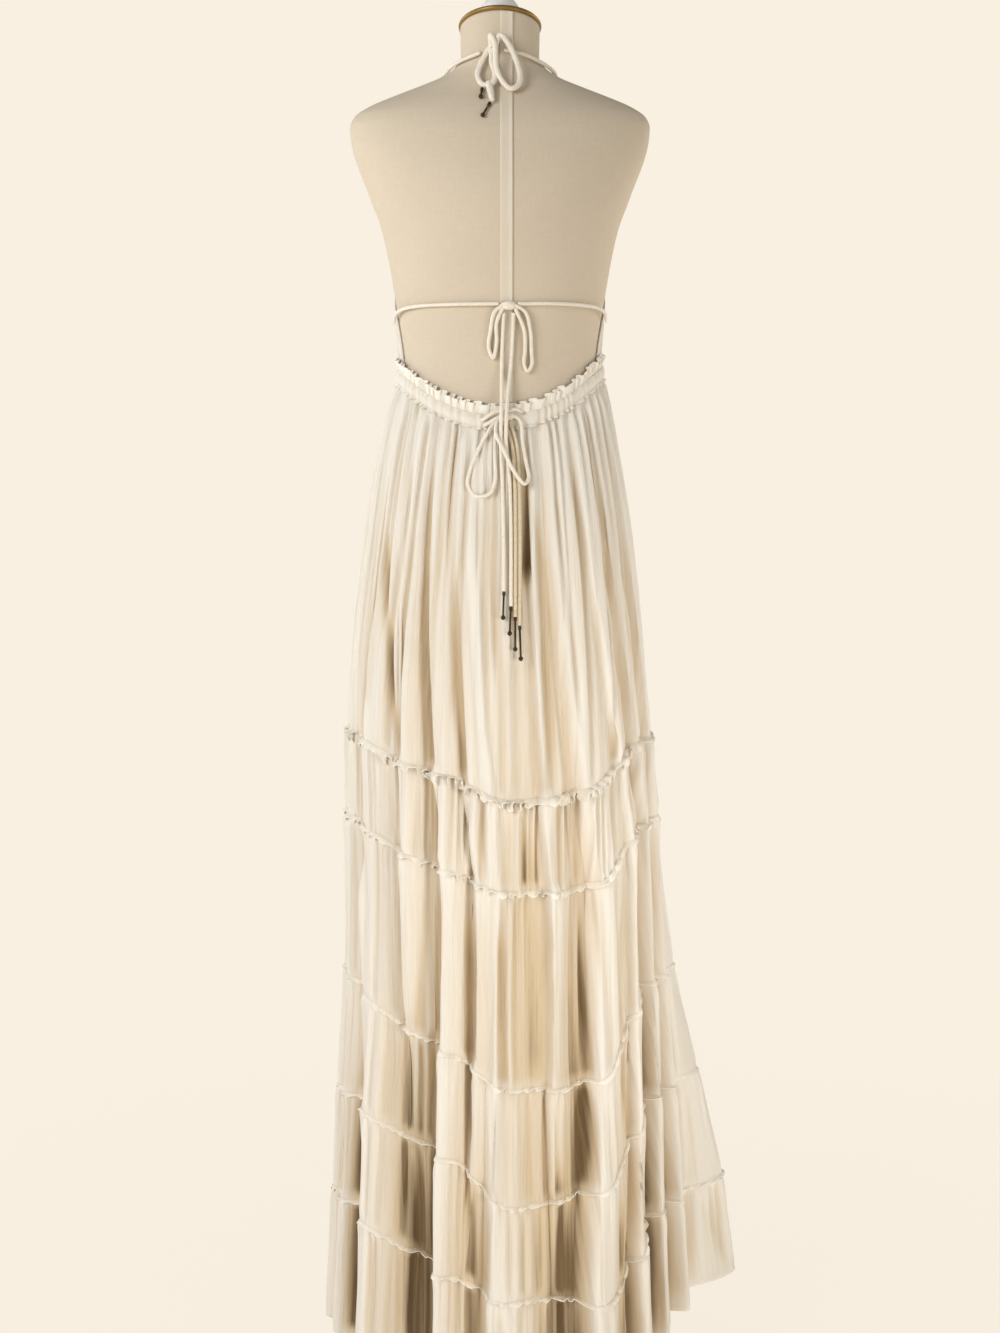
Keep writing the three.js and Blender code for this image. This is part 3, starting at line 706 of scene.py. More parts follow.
@dataclass(frozen=True)
class SoftLight:
    """A square soft light that points at the dress."""

    name: str
    place: Triple
    aim: Triple
    size: float
    power: float
    colour: Colour
    spread: float = 180.0

    def add(self) -> None:
        """Adds the light to the scene."""
        lamp = bpy.data.lights.new(self.name, "AREA")
        lamp.shape = "SQUARE"
        lamp.size = self.size
        lamp.energy = self.power
        lamp.spread = math.radians(self.spread)
        lamp.color = self.colour
        holder = bpy.data.objects.new(self.name, lamp)
        holder.location = self.place
        holder.rotation_euler = (Vector(self.aim) - Vector(self.place)).to_track_quat("-Z", "Y").to_euler()
        bpy.context.scene.collection.objects.link(holder)


@dataclass(frozen=True)
class Studio:
    """Camera behind the dress, pale floor and soft light from the left."""

    camera_place: Triple = (0.0, -2.4863, 1.1383)
    camera_pitch: float = 6.0
    focal_length: float = 55.28
    sensor_height: float = 36.0
    floor_half: float = 6.0
    backdrop: Colour = (0.947, 0.871, 0.753)
    floor_glow: float = 0.94
    air: float = 0.3
    air_colour: Colour = (0.95, 0.93, 0.89)
    floor_reach: float = 1.5
    lights: tuple[SoftLight, ...] = (
        SoftLight("key_left", (-1.9, -2.3, 2.0), (0.0, 0.0, 0.95), 1.4, 52.0, (1.0, 0.985, 0.96)),
        SoftLight("fill_right", (2.0, -2.4, 0.35), (0.1, 0.0, 0.4), 1.2, 3.7, (1.0, 0.95, 0.87), 36.0),
        SoftLight("rim_left", (-2.4, 0.9, 1.4), (0.0, 0.0, 0.9), 1.4, 18.0, (1.0, 0.99, 0.97)),
        SoftLight("wrap_left", (-2.4, -0.1, 1.6), (-0.1, 0.0, 1.3), 0.8, 0.45, (0.76, 0.89, 1.0), 32.0),
        SoftLight("rim_right", (2.2, 0.9, 1.6), (0.1, 0.0, 1.35), 0.8, 0.9, (1.0, 0.95, 0.86), 30.0),
    )

    def build(self) -> None:
        """Adds the camera, the floor, the air and the lights."""
        self._camera()
        self._floor()
        self._air()
        for light in self.lights:
            light.add()

    def _camera(self) -> None:
        """Adds the camera and makes it the scene's own."""
        lens = bpy.data.cameras.new("photo_camera")
        lens.sensor_fit = "VERTICAL"
        lens.sensor_height = self.sensor_height
        lens.lens = self.focal_length
        lens.dof.use_dof = False
        holder = bpy.data.objects.new("photo_camera", lens)
        holder.location = self.camera_place
        holder.rotation_euler = (math.radians(90 - self.camera_pitch), 0.0, 0.0)
        bpy.context.scene.collection.objects.link(holder)
        bpy.context.scene.camera = holder
        bpy.context.scene.view_settings.view_transform = "Standard"

    def _floor(self) -> None:
        """Adds the plain pale floor."""
        half = self.floor_half
        mesh = bpy.data.meshes.new("floor")
        corners = [(-half, -half, 0.0), (half, -half, 0.0), (half, half, 0.0), (-half, half, 0.0)]
        mesh.from_pydata(corners, [], [(0, 1, 2, 3)])
        shader = Shader.named("pale_floor")
        glow = shader.node("ShaderNodeEmission", {"Color": (*self.backdrop, 1.0), "Strength": 1.0})
        matt = shader.node("ShaderNodeBsdfDiffuse", {"Color": (*self.backdrop, 1.0)})
        place = shader.object_place(1.0 / self.floor_reach)
        away = shader.node("ShaderNodeVectorMath", {0: place}, "Value", operation="LENGTH")
        share = (away * (1.0 - self.floor_glow) + self.floor_glow).limited()
        mesh.materials.append(shader.close(shader.node("ShaderNodeMixShader", {0: share, 1: matt, 2: glow})))
        holder = bpy.data.objects.new("floor", mesh)
        bpy.context.scene.collection.objects.link(holder)

    def _air(self) -> None:
        """Sets the colour all round, dimmer as light than as it looks."""
        shader = Shader(bpy.data.worlds.new("studio_air"))
        seen = shader.node("ShaderNodeBackground", {"Color": (*self.backdrop, 1.0), "Strength": 1.0})
        lit = shader.node("ShaderNodeBackground", {"Color": (*self.air_colour, 1.0), "Strength": self.air})
        ray = shader.node("ShaderNodeLightPath", output="Is Camera Ray")
        mix = shader.node("ShaderNodeMixShader", {0: ray, 1: lit, 2: seen})
        bpy.context.scene.world = shader.close(mix, "ShaderNodeOutputWorld")


# Shape of the form, which the rest is laid out on


@dataclass(frozen=True)
class FormRow:
    """Half width and half depths of the form at a height."""

    height: float
    half: float
    back: float
    front: float


FORM_ROWS = tuple(
    FormRow(*row)
    for row in (
        (905, 120, 86, 85), (920, 139, 101, 98), (1000, 150, 112, 104), (1080, 142, 104, 96),
        (1140, 131, 93, 89), (1185, 123.5, 85, 85), (1215, 120, 81.5, 83.5), (1245, 118.5, 80, 84.5),
        (1295, 122, 83, 94), (1330, 127, 89, 107), (1400, 141, 98, 124), (1436, 154, 100, 118),
        (1506, 177, 88, 84), (1520, 178, 83, 76), (1532, 173, 77, 69), (1543, 157, 70, 62),
        (1554, 131, 62, 55), (1565, 102, 55, 50), (1577, 72, 50.5, 47), (1588, 55, 48, 46),
        (1600, 46.5, 47, 45.5), (1634, 47, 48, 46),
    )
)


@dataclass(frozen=True)
class FormShape:
    """Surface of the form by turn and height."""

    rows: tuple[FormRow, ...] = FORM_ROWS
    slant: float = 0.27
    slant_from: float = 1600.0

    def sizes(self, height: Array, smooth: bool = True) -> Array:
        """Reads half width, back depth and front depth.

        Args:
            height: Heights.
            smooth: Whether the rows are joined by a smooth curve or by straight lines.

        Returns:
            The three sizes on the last axis.
        """
        heights = np.array([row.height for row in self.rows])
        table = np.array([(row.half, row.back, row.front) for row in self.rows])
        height = np.asarray(height, dtype=float)
        if smooth:
            return smooth_between(heights, table, height.ravel()).reshape(height.shape + (3,))
        return np.stack([np.interp(height, heights, column) for column in table.T], axis=-1)

    def point(self, turn: Array, height: Array, lift: Array, smooth: bool = True) -> Array:
        """Finds points over the form.

        Args:
            turn: Turns in degrees.
            height: Heights.
            lift: Distances off the form.
            smooth: As in sizes.

        Returns:
            Points, with x, y and z on the last axis.
        """
        given = (np.asarray(v, dtype=float) for v in (turn, height, lift))
        turn, height, lift = np.broadcast_arrays(*given)
        half, back, front = np.moveaxis(self.sizes(height, smooth), -1, 0)
        sine, cosine = sine_cosine(turn)
        depth = np.where(cosine < 0, front, back)
        return np.stack([(half + lift) * sine, -(depth + lift) * cosine, height], axis=-1)

    def slanted(self, points: Array) -> Array:
        """Returns points with the neck's slant put in, more towards its top."""
        top = self.rows[-1].height
        share = np.clip((points[..., 2] - self.slant_from) / (top - self.slant_from), 0, 1)
        tilted = points.copy()
        tilted[..., 2] -= share * self.slant * points[..., 1]
        return tilted


# Skirt


STEP_TURNS = (-90, -55, -18, 6, 37, 60, 90)
LEVEL = (0, 0, 0, 0, 0, 0, 0)


@dataclass(frozen=True)
class Ring:
    """Heights of a skirt ring on its four sides, the steps of its back, its half sizes and its fold depth."""

    z_back: float
    z_left: float
    z_right: float
    z_front: float
    steps: Row = LEVEL
    left: float = 0.0
    right: float = 0.0
    back: float = 0.0
    front: float = 0.0
    fold: float = 0.0

    def height(self, turn: Array) -> Array:
        """Returns the ring's height at turns."""
        sine, cosine = sine_cosine(turn)
        side = np.where(sine < 0, self.z_left, self.z_right)
        end = np.where(cosine < 0, self.z_front, self.z_back)
        signed = turned_away(np.asarray(turn, dtype=float))
        level = side + (end - side) * cosine**2
        for start, stop, low, high in zip(STEP_TURNS, STEP_TURNS[1:], self.steps, self.steps[1:]):
            within = (signed >= start) & (signed < stop)
            level = level + within * (low + (high - low) * soft_step(signed, start, stop))
        return level

    def point(self, turn: Array) -> Array:
        """Returns points of the ring at turns, on its fold crests."""
        sine, cosine = sine_cosine(turn)
        half = np.where(sine < 0, self.left, self.right)
        depth = np.where(cosine < 0, self.front, self.back)
        return np.stack([half * sine, -depth * cosine, self.height(turn)], axis=-1)


@dataclass(frozen=True)
class Fold:
    """Turns of a fold at three rings, its spread, its crests there and how square it is."""

    turns: Triple
    spread: float
    crests: Triple
    square: int = 2


@dataclass(frozen=True)
class Crease:
    """A soft trough, or a ridge where it is negative, down the skirt."""

    turn: float
    top: float
    bottom: float
    width: float
    depth: float
    drift: float

    def centre(self, share: Array) -> Array:
        """Returns the turns of its middle at shares of its length."""
        return self.turn + self.drift * np.clip(share, 0, 1)


@dataclass(frozen=True)
class Tier:
    """A tier of the skirt by its rings, with its gathers."""

    name: str
    top: int
    bottom: int
    gathers: Ruffle
    drape: Ruffle
    rows: int
    puff: float
    gather_height: float
    gather_fade: float
    drape_height: float


CASING_HEIGHT = 17.0
HEADING_HEIGHT = 12.0
WAIST = Ring(1163, 1219, 1224, 1215)
WAIST_LIFT = 3.2
RINGS = (
    WAIST,
    Ring(1112, 1142, 1146, 1144, LEVEL, 145, 142, 110, 104, 4),
    Ring(1010, 1035, 1036, 1042, LEVEL, 164, 161, 134, 123, 8),
    Ring(872, 918, 912, 922, (0, 6, 11, 1, -2, 5, 0), 180, 175, 152, 137, 12),
    Ring(734, 804, 792, 800, (0, 14, 25, 3, -4, 13, 0), 187, 185, 164, 146, 15),
    Ring(635, 702, 696, 690, (0, 12, 15, -4, -20, 8, 0), 190, 193, 174, 154, 19),
    Ring(408, 506, 498, 484, (0, 20, 30, -4, -30, 24, 0), 193, 207, 200, 172, 27),
    Ring(280, 355, 358, 340, (0, 32, 40, -10, -24, 28, 0), 202, 220, 218, 186, 34),
    Ring(166, 226, 214, 200, (0, 28, 20, 0, -32, 28, 0), 209, 231, 232, 198, 40),
    Ring(26, 58, 84, 48, (0, 24, 12, 0, -16, 10, 0), 219, 241, 246, 212, 46),
)
FOLD_RINGS = (2, 5, 8)
FOLDS = tuple(
    Fold(*row)
    for row in (
        ((-73, -71, -66), 9, (0.9, 1.0, 0.95)), ((-54, -52, -45), 12, (1.0, 0.9, 1.0), 4),
        ((-39, -34, -31), 8, (0.8, 0.9, 0.1)), ((-27, -17, -18), 8, (0.9, 1.0, 0.95)),
        ((-14, -4, -8), 8, (0.6, 0.9, 0.55)), ((-2, 7, 6), 12, (1.0, 0.35, 1.0), 4),
        ((16, 22, 22), 7, (1.0, 0.9, 0.2)), ((31, 46, 37), 11, (0.8, 1.0, 1.0), 4),
        ((44, 59, 52), 7, (0.9, 0.8, 0.9)), ((58, 72, 64), 8, (0.8, 0.9, 0.85)),
        ((76, 86, 80), 9, (0.9, 1.0, 1.0)), ((98, 104, 109), 24, (0.9, 1.1, 2.75)),
        ((118, 122, 132), 9, (0.9, 0.9, 0.8)), ((136, 139, 148), 10, (0.8, 1.0, 0.9)),
        ((153, 156, 164), 8, (1.0, 0.8, 0.7)), ((170, 172, 179), 11, (0.8, 0.9, 1.0), 4),
        ((187, 190, 195), 8, (0.9, 1.0, 0.6)), ((203, 207, 210), 10, (0.8, 0.8, 1.0)),
        ((220, 223, 226), 9, (1.0, 0.9, 0.8)), ((237, 239, 243), 11, (0.8, 1.0, 1.0), 4),
        ((254, 255, 260), 8, (0.9, 0.8, 0.9)), ((270, 272, 276), 9, (0.9, 1.0, 1.0)),
    )
)
CREASES = tuple(
    Crease(*row)
    for row in (
        (-62, 60, 420, 7, 3.5, 4), (-58, 110, 440, 7, 6.5, 17), (-44, 30, 330, 6, 3.0, 3),
        (-33, 20, 520, 6, 4.0, 6), (-22, 10, 400, 5, 3.5, 5), (-8, 20, 430, 5, 4.5, 5),
        (-5, 15, 300, 4, 3.0, 4), (8, 2, 235, 5, 8.0, -1), (12.6, 2, 190, 3, 7.0, -2),
        (16, 30, 440, 5, 3.0, 4), (24, 10, 380, 5, 3.5, 9), (37, 30, 430, 6, 3.0, 10),
        (51, 40, 440, 6, 3.0, 12), (66, 30, 400, 6, 3.0, 12), (88, 60, 430, 8, 3.5, 8),
        (-61, 560, 880, 8, -12.0, 1), (-63.5, 780, 1290, 8, 9.0, 0), (-48, 940, 1270, 6, 2.5, 0),
        (-38, 700, 1145, 15, 4.5, 5), (-26, 540, 770, 6, -3.5, -1), (-11, 540, 900, 6, 4.0, 0),
        (1, 550, 780, 7, 3.5, 2), (11, 425, 780, 16, 4.5, 2), (33, 540, 900, 7, 4.0, -3),
        (50, 560, 880, 6, 3.5, -4), (62, 600, 1000, 7, 3.5, -3), (-10, 850, 1145, 8, 6.0, 0),
        (-1, 1000, 1145, 7, 4.5, 9), (21, 820, 1145, 8, 7.0, 0), (44, 900, 1145, 7, 4.0, 0),
        (58, 930, 1145, 6, 3.5, 0), (73, 900, 1145, 7, 3.5, 2), (91, 780, 1145, 10, 10.0, 3),
        (100, 860, 1145, 7, 6.0, 2), (120, 900, 1145, 8, 4.0, 3),
    )
)
TIERS = (
    Tier("skirt_upper", 0, 4, Ruffle(62, 11), Ruffle(31, 21), 98, 1.0, 2.8, 190.0, 2.4),
    Tier("skirt_tier_2", 4, 5, Ruffle(110, 12), Ruffle(43, 22), 28, 1.6, 2.4, 90.0, 2.2),
    Tier("skirt_tier_3", 5, 6, Ruffle(100, 13), Ruffle(39, 23), 58, 1.2, 1.2, 50.0, 1.8),
    Tier("skirt_tier_4", 6, 7, Ruffle(104, 14), Ruffle(43, 24), 34, 1.2, 1.2, 40.0, 1.8),
    Tier("skirt_tier_5", 7, 8, Ruffle(108, 15), Ruffle(45, 25), 32, 1.2, 1.2, 40.0, 1.8),
    Tier("skirt_tier_6", 8, 9, Ruffle(112, 16), Ruffle(47, 26), 37, 1.2, 1.5, 60.0, 1.8),
)


@dataclass
class Folds:
    """The folded surface of the skirt between its rings, with its creases."""

    form: FormShape
    broad: float = 20.0
    widths: dict[int, float] = field(default_factory=lambda: {2: 0.6, 4: 0.8})
    lean: float = 0.48
    rise: Pair = (-1.3, -0.8)
    slope: Pair = (-0.7, 0.8)
    fall: Pair = (0.8, 1.35)
    # Fold depths, by distance down, at which the painted shade in the folds is full.
    deep_at: Row = (0.0, 400.0, 560.0, 760.0, 1145.0)
    deep: Row = (26.0, 34.0, 46.0, 46.0, 30.0)
    radius_at: Row = (0.0, 300.0, 1145.0)
    radii: Row = (120.0, 170.0, 225.0)
    copies: tuple[Pair, ...] = ((0.0, 1.0), (97.0, 0.8), (188.0, 0.9))
    copies_from: float = -0.1
    crease_start: float = 0.25
    crease_end: float = 0.8
    flare_turn: float = 108.0
    flare_spread: float = 22.0
    flare_calm: float = 0.6
    flare_from: Pair = (560.0, 760.0)
    knots: Array = field(init=False)

    def __post_init__(self) -> None:
        """Works out how far down the back each ring is."""
        self.knots = RINGS[0].z_back - np.array([ring.z_back for ring in RINGS])

    def _crest(self, number: Array, turn: Array) -> Array:
        """Finds the height of the folds, each steep on its left and falling away to its right.

        Args:
            number: Places between the rings, one for each row.
            turn: Turns of the columns in degrees.

        Returns:
            Shares of the fold depth, rows by columns.
        """
        crest = np.zeros((len(number), len(turn)))
        for fold in FOLDS:
            centre = np.interp(number, FOLD_RINGS, fold.turns)[:, None]
            height = np.interp(number, FOLD_RINGS, fold.crests)[:, None]
            away = turned_away(turn[None], centre)
            if fold.spread > self.broad:
                crest += height * np.clip(1 - (away / fold.spread) ** 2, 0, None) ** 2
                continue
            away = away / (fold.spread * self.widths[fold.square])
            lean = self.lean * soft_step(away, *self.slope)
            level = 1 - lean - (1 - self.lean) * soft_step(away, *self.fall)
            crest += height * soft_step(away, *self.rise) * level
        return crest

    def surface(self, down: Array, columns: int) -> tuple[Array, Array]:
        """Runs the folded skirt through its rings.

        Args:
            down: Distances down the back from the waist.
            columns: Columns round it.

        Returns:
            Points, and levels of painted shade from the folds' crests, rows by columns.
        """
        turn = even_turns(columns)
        waist = self.form.point(turn, WAIST.height(turn), WAIST_LIFT, smooth=False)
        rings = np.array([waist] + [ring.point(turn) for ring in RINGS[1:]])
        depth = smooth_between(self.knots, np.array([ring.fold for ring in RINGS]), down)[:, None]
        crest = self._crest(np.interp(down, self.knots, np.arange(len(RINGS))), turn)
        sine, cosine = sine_cosine(turn)
        radial = np.stack([sine, -cosine, np.zeros(columns)], axis=-1)
        points = smooth_between(self.knots, rings, down) + (depth * (crest - 1))[..., None] * radial[None]
        # Painted shade in the folds: pale on the crests, darker down the falling right flanks and in the
        # troughs, more where the folds are deep.
        shade = np.minimum(1, depth / np.interp(down, self.deep_at, self.deep)[:, None])
        return points, np.clip(1 - (1 - crest) * shade, 0, 1)

    def creased(self, down: Array, turn: Array) -> Array:
        """Returns how far the creases move the cloth out, with plainer copies of them round the front.

        Args:
            down: Distances down the back from the waist.
            turn: Turns of the columns in degrees.

        Returns:
            Distances, rows by columns, negative where the cloth goes in.
        """
        moved = np.zeros((len(down), len(turn)))
        radius = np.interp(down, self.radius_at, self.radii)[:, None]
        for shift, size in self.copies:
            for crease in CREASES:
                if shift and math.cos(math.radians(crease.turn + shift)) > self.copies_from:
                    continue
                share = ((down - crease.top) / (crease.bottom - crease.top))[:, None]
                fade = soft_step(share, 0, self.crease_start) * (1 - soft_step(share, self.crease_end, 1))
                away = np.radians(turned_away(turn[None], shift + crease.centre(share))) * radius
                moved -= size * crease.depth * fade * np.exp(-((away / crease.width) ** 2))
        flare = np.exp(-(((turn - self.flare_turn) / self.flare_spread) ** 4))[None]
        return moved * (1 - self.flare_calm * soft_step(down, *self.flare_from)[:, None] * flare)


@dataclass
class Skirt:
    """Six gathered tiers and the ruffled edges that stand out over their seams."""

    form: FormShape
    gauze: Material
    edging: Material
    columns: int = 1000
    gather_start: Pair = (-2.0, 5.0)
    gather_sway: Sway = Sway(0.35, 23.0, 5)
    drape_start: float = 18.0
    drape_sway: Sway = Sway(0.9, 85.0, 3)
    crinkle_start: float = 10.0
    crinkle_rate: float = 1.9
    crinkle_sway: Sway = Sway(0.8, 11.0, 9)
    crinkle_height: float = 0.2
    crease_start: float = 12.0
    seam_clear: float = 14.0
    puff_reach: float = 12.0
    # Painted shade, per millimetre, where gathers, drape and creases push the cloth in.
    inward_shade_gain: float = 0.085
    hem_rows: int = 4
    hem_turn: float = 9.0
    hem_wall: float = 1.3
    hem_round: float = 0.4
    # Painted shade on the inside of the turned-up hem.
    hem_shade: float = 0.8

    def build(self) -> None:
        """Builds the tiers, then the frills."""
        folds = Folds(self.form)
        held = "waist_casing_cloth"
        for tier in TIERS:
            held = self.tier(folds, tier, held).name
        for number in range(1, len(TIERS)):
            Frill(number).make(folds, self.edging)

    def tier(self, folds: Folds, tier: Tier, held_by: str) -> Piece:
        """Builds one tier as a thin sheet.

        Args:
            folds: The skirt's folds.
            tier: The tier's facts.
            held_by: Name of the piece that it hangs from; not used.

        Returns:
            The piece.
        """
        top, bottom = folds.knots[tier.top], folds.knots[tier.bottom]
        down = top + (bottom - top) * np.linspace(0, 1, tier.rows)
        points, crests = folds.surface(down, self.columns)
        moved = self._moved(folds, tier, (down - top)[:, None], (bottom - down)[:, None], down)
        points = points + outward(points) * moved[..., None]
        # Painted shade where the cloth goes in.
        crests = np.clip(crests + self.inward_shade_gain * np.minimum(moved, 0), 0, 1)
        heights = (down - top) * MM
        if tier.bottom == len(RINGS) - 1:
            points, crests, heights = self._hemmed(points, crests, heights)
        wide = ring_lengths(points).mean() * MM
        maker = MeshMaker()
        maker.ring(points, wide, heights, crests)
        piece = maker.make(f"{tier.name}_cloth", self.gauze, Slot.GAUZE, tier.name)
        return piece

    def _moved(self, folds: Folds, tier: Tier, below: Array, above: Array, down: Array) -> Array:
        """Finds how far gathers, drape, crinkles and creases move the cloth out.

        Args:
            folds: The skirt's folds.
            tier: The tier's facts.
            below: Distances below the tier's upper seam.
            above: Distances above its lower edge.
            down: Distances down the back from the waist.

        Returns:
            Distances, rows by columns.
        """
        turn = even_turns(self.columns)
        angle = np.radians(turn)[None]
        gather_phase = tier.gathers.phase(angle) + self.gather_sway.at(below, angle)
        gathers = tier.gathers.strength(angle) * np.sin(gather_phase)
        drape_phase = tier.drape.phase(angle) + self.drape_sway.at(below, angle)
        drape = tier.drape.strength(angle) * np.sin(drape_phase)
        crinkle = np.sin(self.crinkle_rate * gather_phase + self.crinkle_sway.at(below, angle))
        near_top = np.exp(-below / tier.gather_fade) * soft_step(below, *self.gather_start)
        near_bottom = soft_step(above, 0, self.seam_clear)
        puff = below / self.puff_reach
        return (
            tier.gather_height * near_top * gathers
            + tier.drape_height * soft_step(below, 0, self.drape_start) * near_bottom * drape
            + self.crinkle_height * soft_step(below, 0, self.crinkle_start) * crinkle
            + folds.creased(down, turn) * soft_step(below, 0, self.crease_start) * near_bottom
            + tier.puff * puff * np.exp(1 - puff)
        )

    def _hemmed(self, points: Array, crests: Array, heights: Array) -> tuple[Array, Array, Array]:
        """Turns the hem up inside the last tier.

        Args:
            points: Points of the tier.
            crests: Its crests.
            heights: Its rows' places down the cloth.

        Returns:
            The three with the turned hem's rows added.
        """
        wall = self.hem_wall * outward(points)
        lower = np.array((0.0, 0.0, self.hem_round))
        turned = points[-self.hem_rows] - wall[-self.hem_rows]
        added = np.stack([points[-1] - 0.5 * wall[-1] - lower, points[-1] - wall[-1] + lower, turned])
        steps = np.array((MM, 2 * MM, self.hem_turn * MM))
        return (
            np.concatenate([points, added]),
            np.concatenate([crests, np.repeat(crests[-1:], len(added), axis=0) * self.hem_shade]),
            np.concatenate([heights, heights[-1] + steps]),
        )


FRILL_SIZES = (1.25, 0.85, 0.6, 0.55, 0.6)
FRILL_LIFE = (1.0, 0.8, 0.7, 0.7, 0.8)


@dataclass(frozen=True)
class Frill:
    """Ruffled edge over a seam, from 1 at the top."""

    number: int
    columns: int = 1260
    rows: int = 7
    waves: tuple[int, int] = (82, 3)
    seeds: tuple[int, int] = (40, 7)
    stray: float = 1.8
    reach: Pair = (5.6, 2.6)
    drop: Pair = (5.2, 3.6)
    drop_shift: float = 0.5
    sway: float = 1.5
    side_calm: float = 0.45
    side_sharpness: int = 6
    root_out: float = 0.4
    root_rise: float = 0.8
    reach_curve: float = 0.75
    wave_curve: float = 1.4
    # Painted shadow at the frill's root, under the seam, and painted light at its edge.
    root_shade: float = 0.74
    edge_shade: float = 1.04
    edge: float = 0.65
    edge_sides: int = 5
    beside: float = 3.0
    flat_height: float = 0.012
    least_height: float = 0.01

    def _ruffle(self) -> Ruffle:
        """Returns its waves, more of them lower down."""
        waves, seed = (first + more * self.number for first, more in (self.waves, self.seeds))
        return Ruffle(waves, seed, self.stray)

    def _points(self, seam: Array) -> Array:
        """Runs the waved cloth out from its seam.

        Args:
            seam: Points just above the seam, on it and just below it.

        Returns:
            Points, rows by columns.
        """
        level = seam[1] * (1.0, 1.0, 0.0)
        normal = unit(outward(seam)[1] + unit(level))
        on = unit(np.roll(seam[1], -1, axis=0) - np.roll(seam[1], 1, axis=0))
        angle = np.arange(self.columns) * 2 * math.pi / self.columns
        size, ruffle = FRILL_SIZES[self.number - 1], self._ruffle()
        phase, strength = ruffle.phase(angle), FRILL_LIFE[self.number - 1] * ruffle.strength(angle)
        reach, drop = size * self.reach[0], size * self.drop[0]
        reach_wave = size * self.reach[1] * strength * np.sin(phase)
        drop_wave = size * self.drop[1] * strength * np.cos(phase + self.drop_shift)
        sway = size * self.sway * strength * np.cos(2 * phase)
        calm = 1 - self.side_calm * np.sin(angle) ** self.side_sharpness
        rows = []
        for share in np.linspace(0, 1, self.rows):
            wave = share**self.wave_curve
            spread = (reach - self.root_out) * share**self.reach_curve + reach_wave * wave
            out = normal * (self.root_out + calm * spread)[:, None]
            fall = -self.root_rise + (drop + self.root_rise) * share + drop_wave * wave
            rows.append(seam[1] + out + on * (sway * wave)[:, None] - np.outer(fall, (0, 0, 1)))
        return np.array(rows)

    def make(self, folds: Folds, edging: Material) -> Piece:
        """Builds the frill.

        Args:
            folds: The skirt's folds.
            edging: Finish.

        Returns:
            The piece.
        """
        tier = TIERS[self.number]
        down = folds.knots[tier.top] + np.array((-self.beside, 0.0, self.beside))
        seam, crest = folds.surface(down, self.columns)
        points = self._points(seam)
        share = np.linspace(0, 1, self.rows)[:, None]
        # Painted shade: the folds' painted shade at the seam, darker at the root and lighter at the edge.
        shade = crest[1][None] * (self.root_shade + (1 - self.root_shade) * share)
        shade = np.clip(shade + (self.edge_shade - 1) * share, 0, 1)
        around = ring_lengths(points)
        maker = MeshMaker()
        maker.ring(points, around[-1] * MM, np.linspace(0, self.flat_height, self.rows), shade)
        maker.tube(points[-1], self.edge, self.edge_sides, closed=True, girth=4 * self.edge * MM)
        name = f"seam_frill_{self.number}"
        piece = maker.make(f"{name}_cloth", edging, Slot.GAUZE, name)
        return piece


# Waist


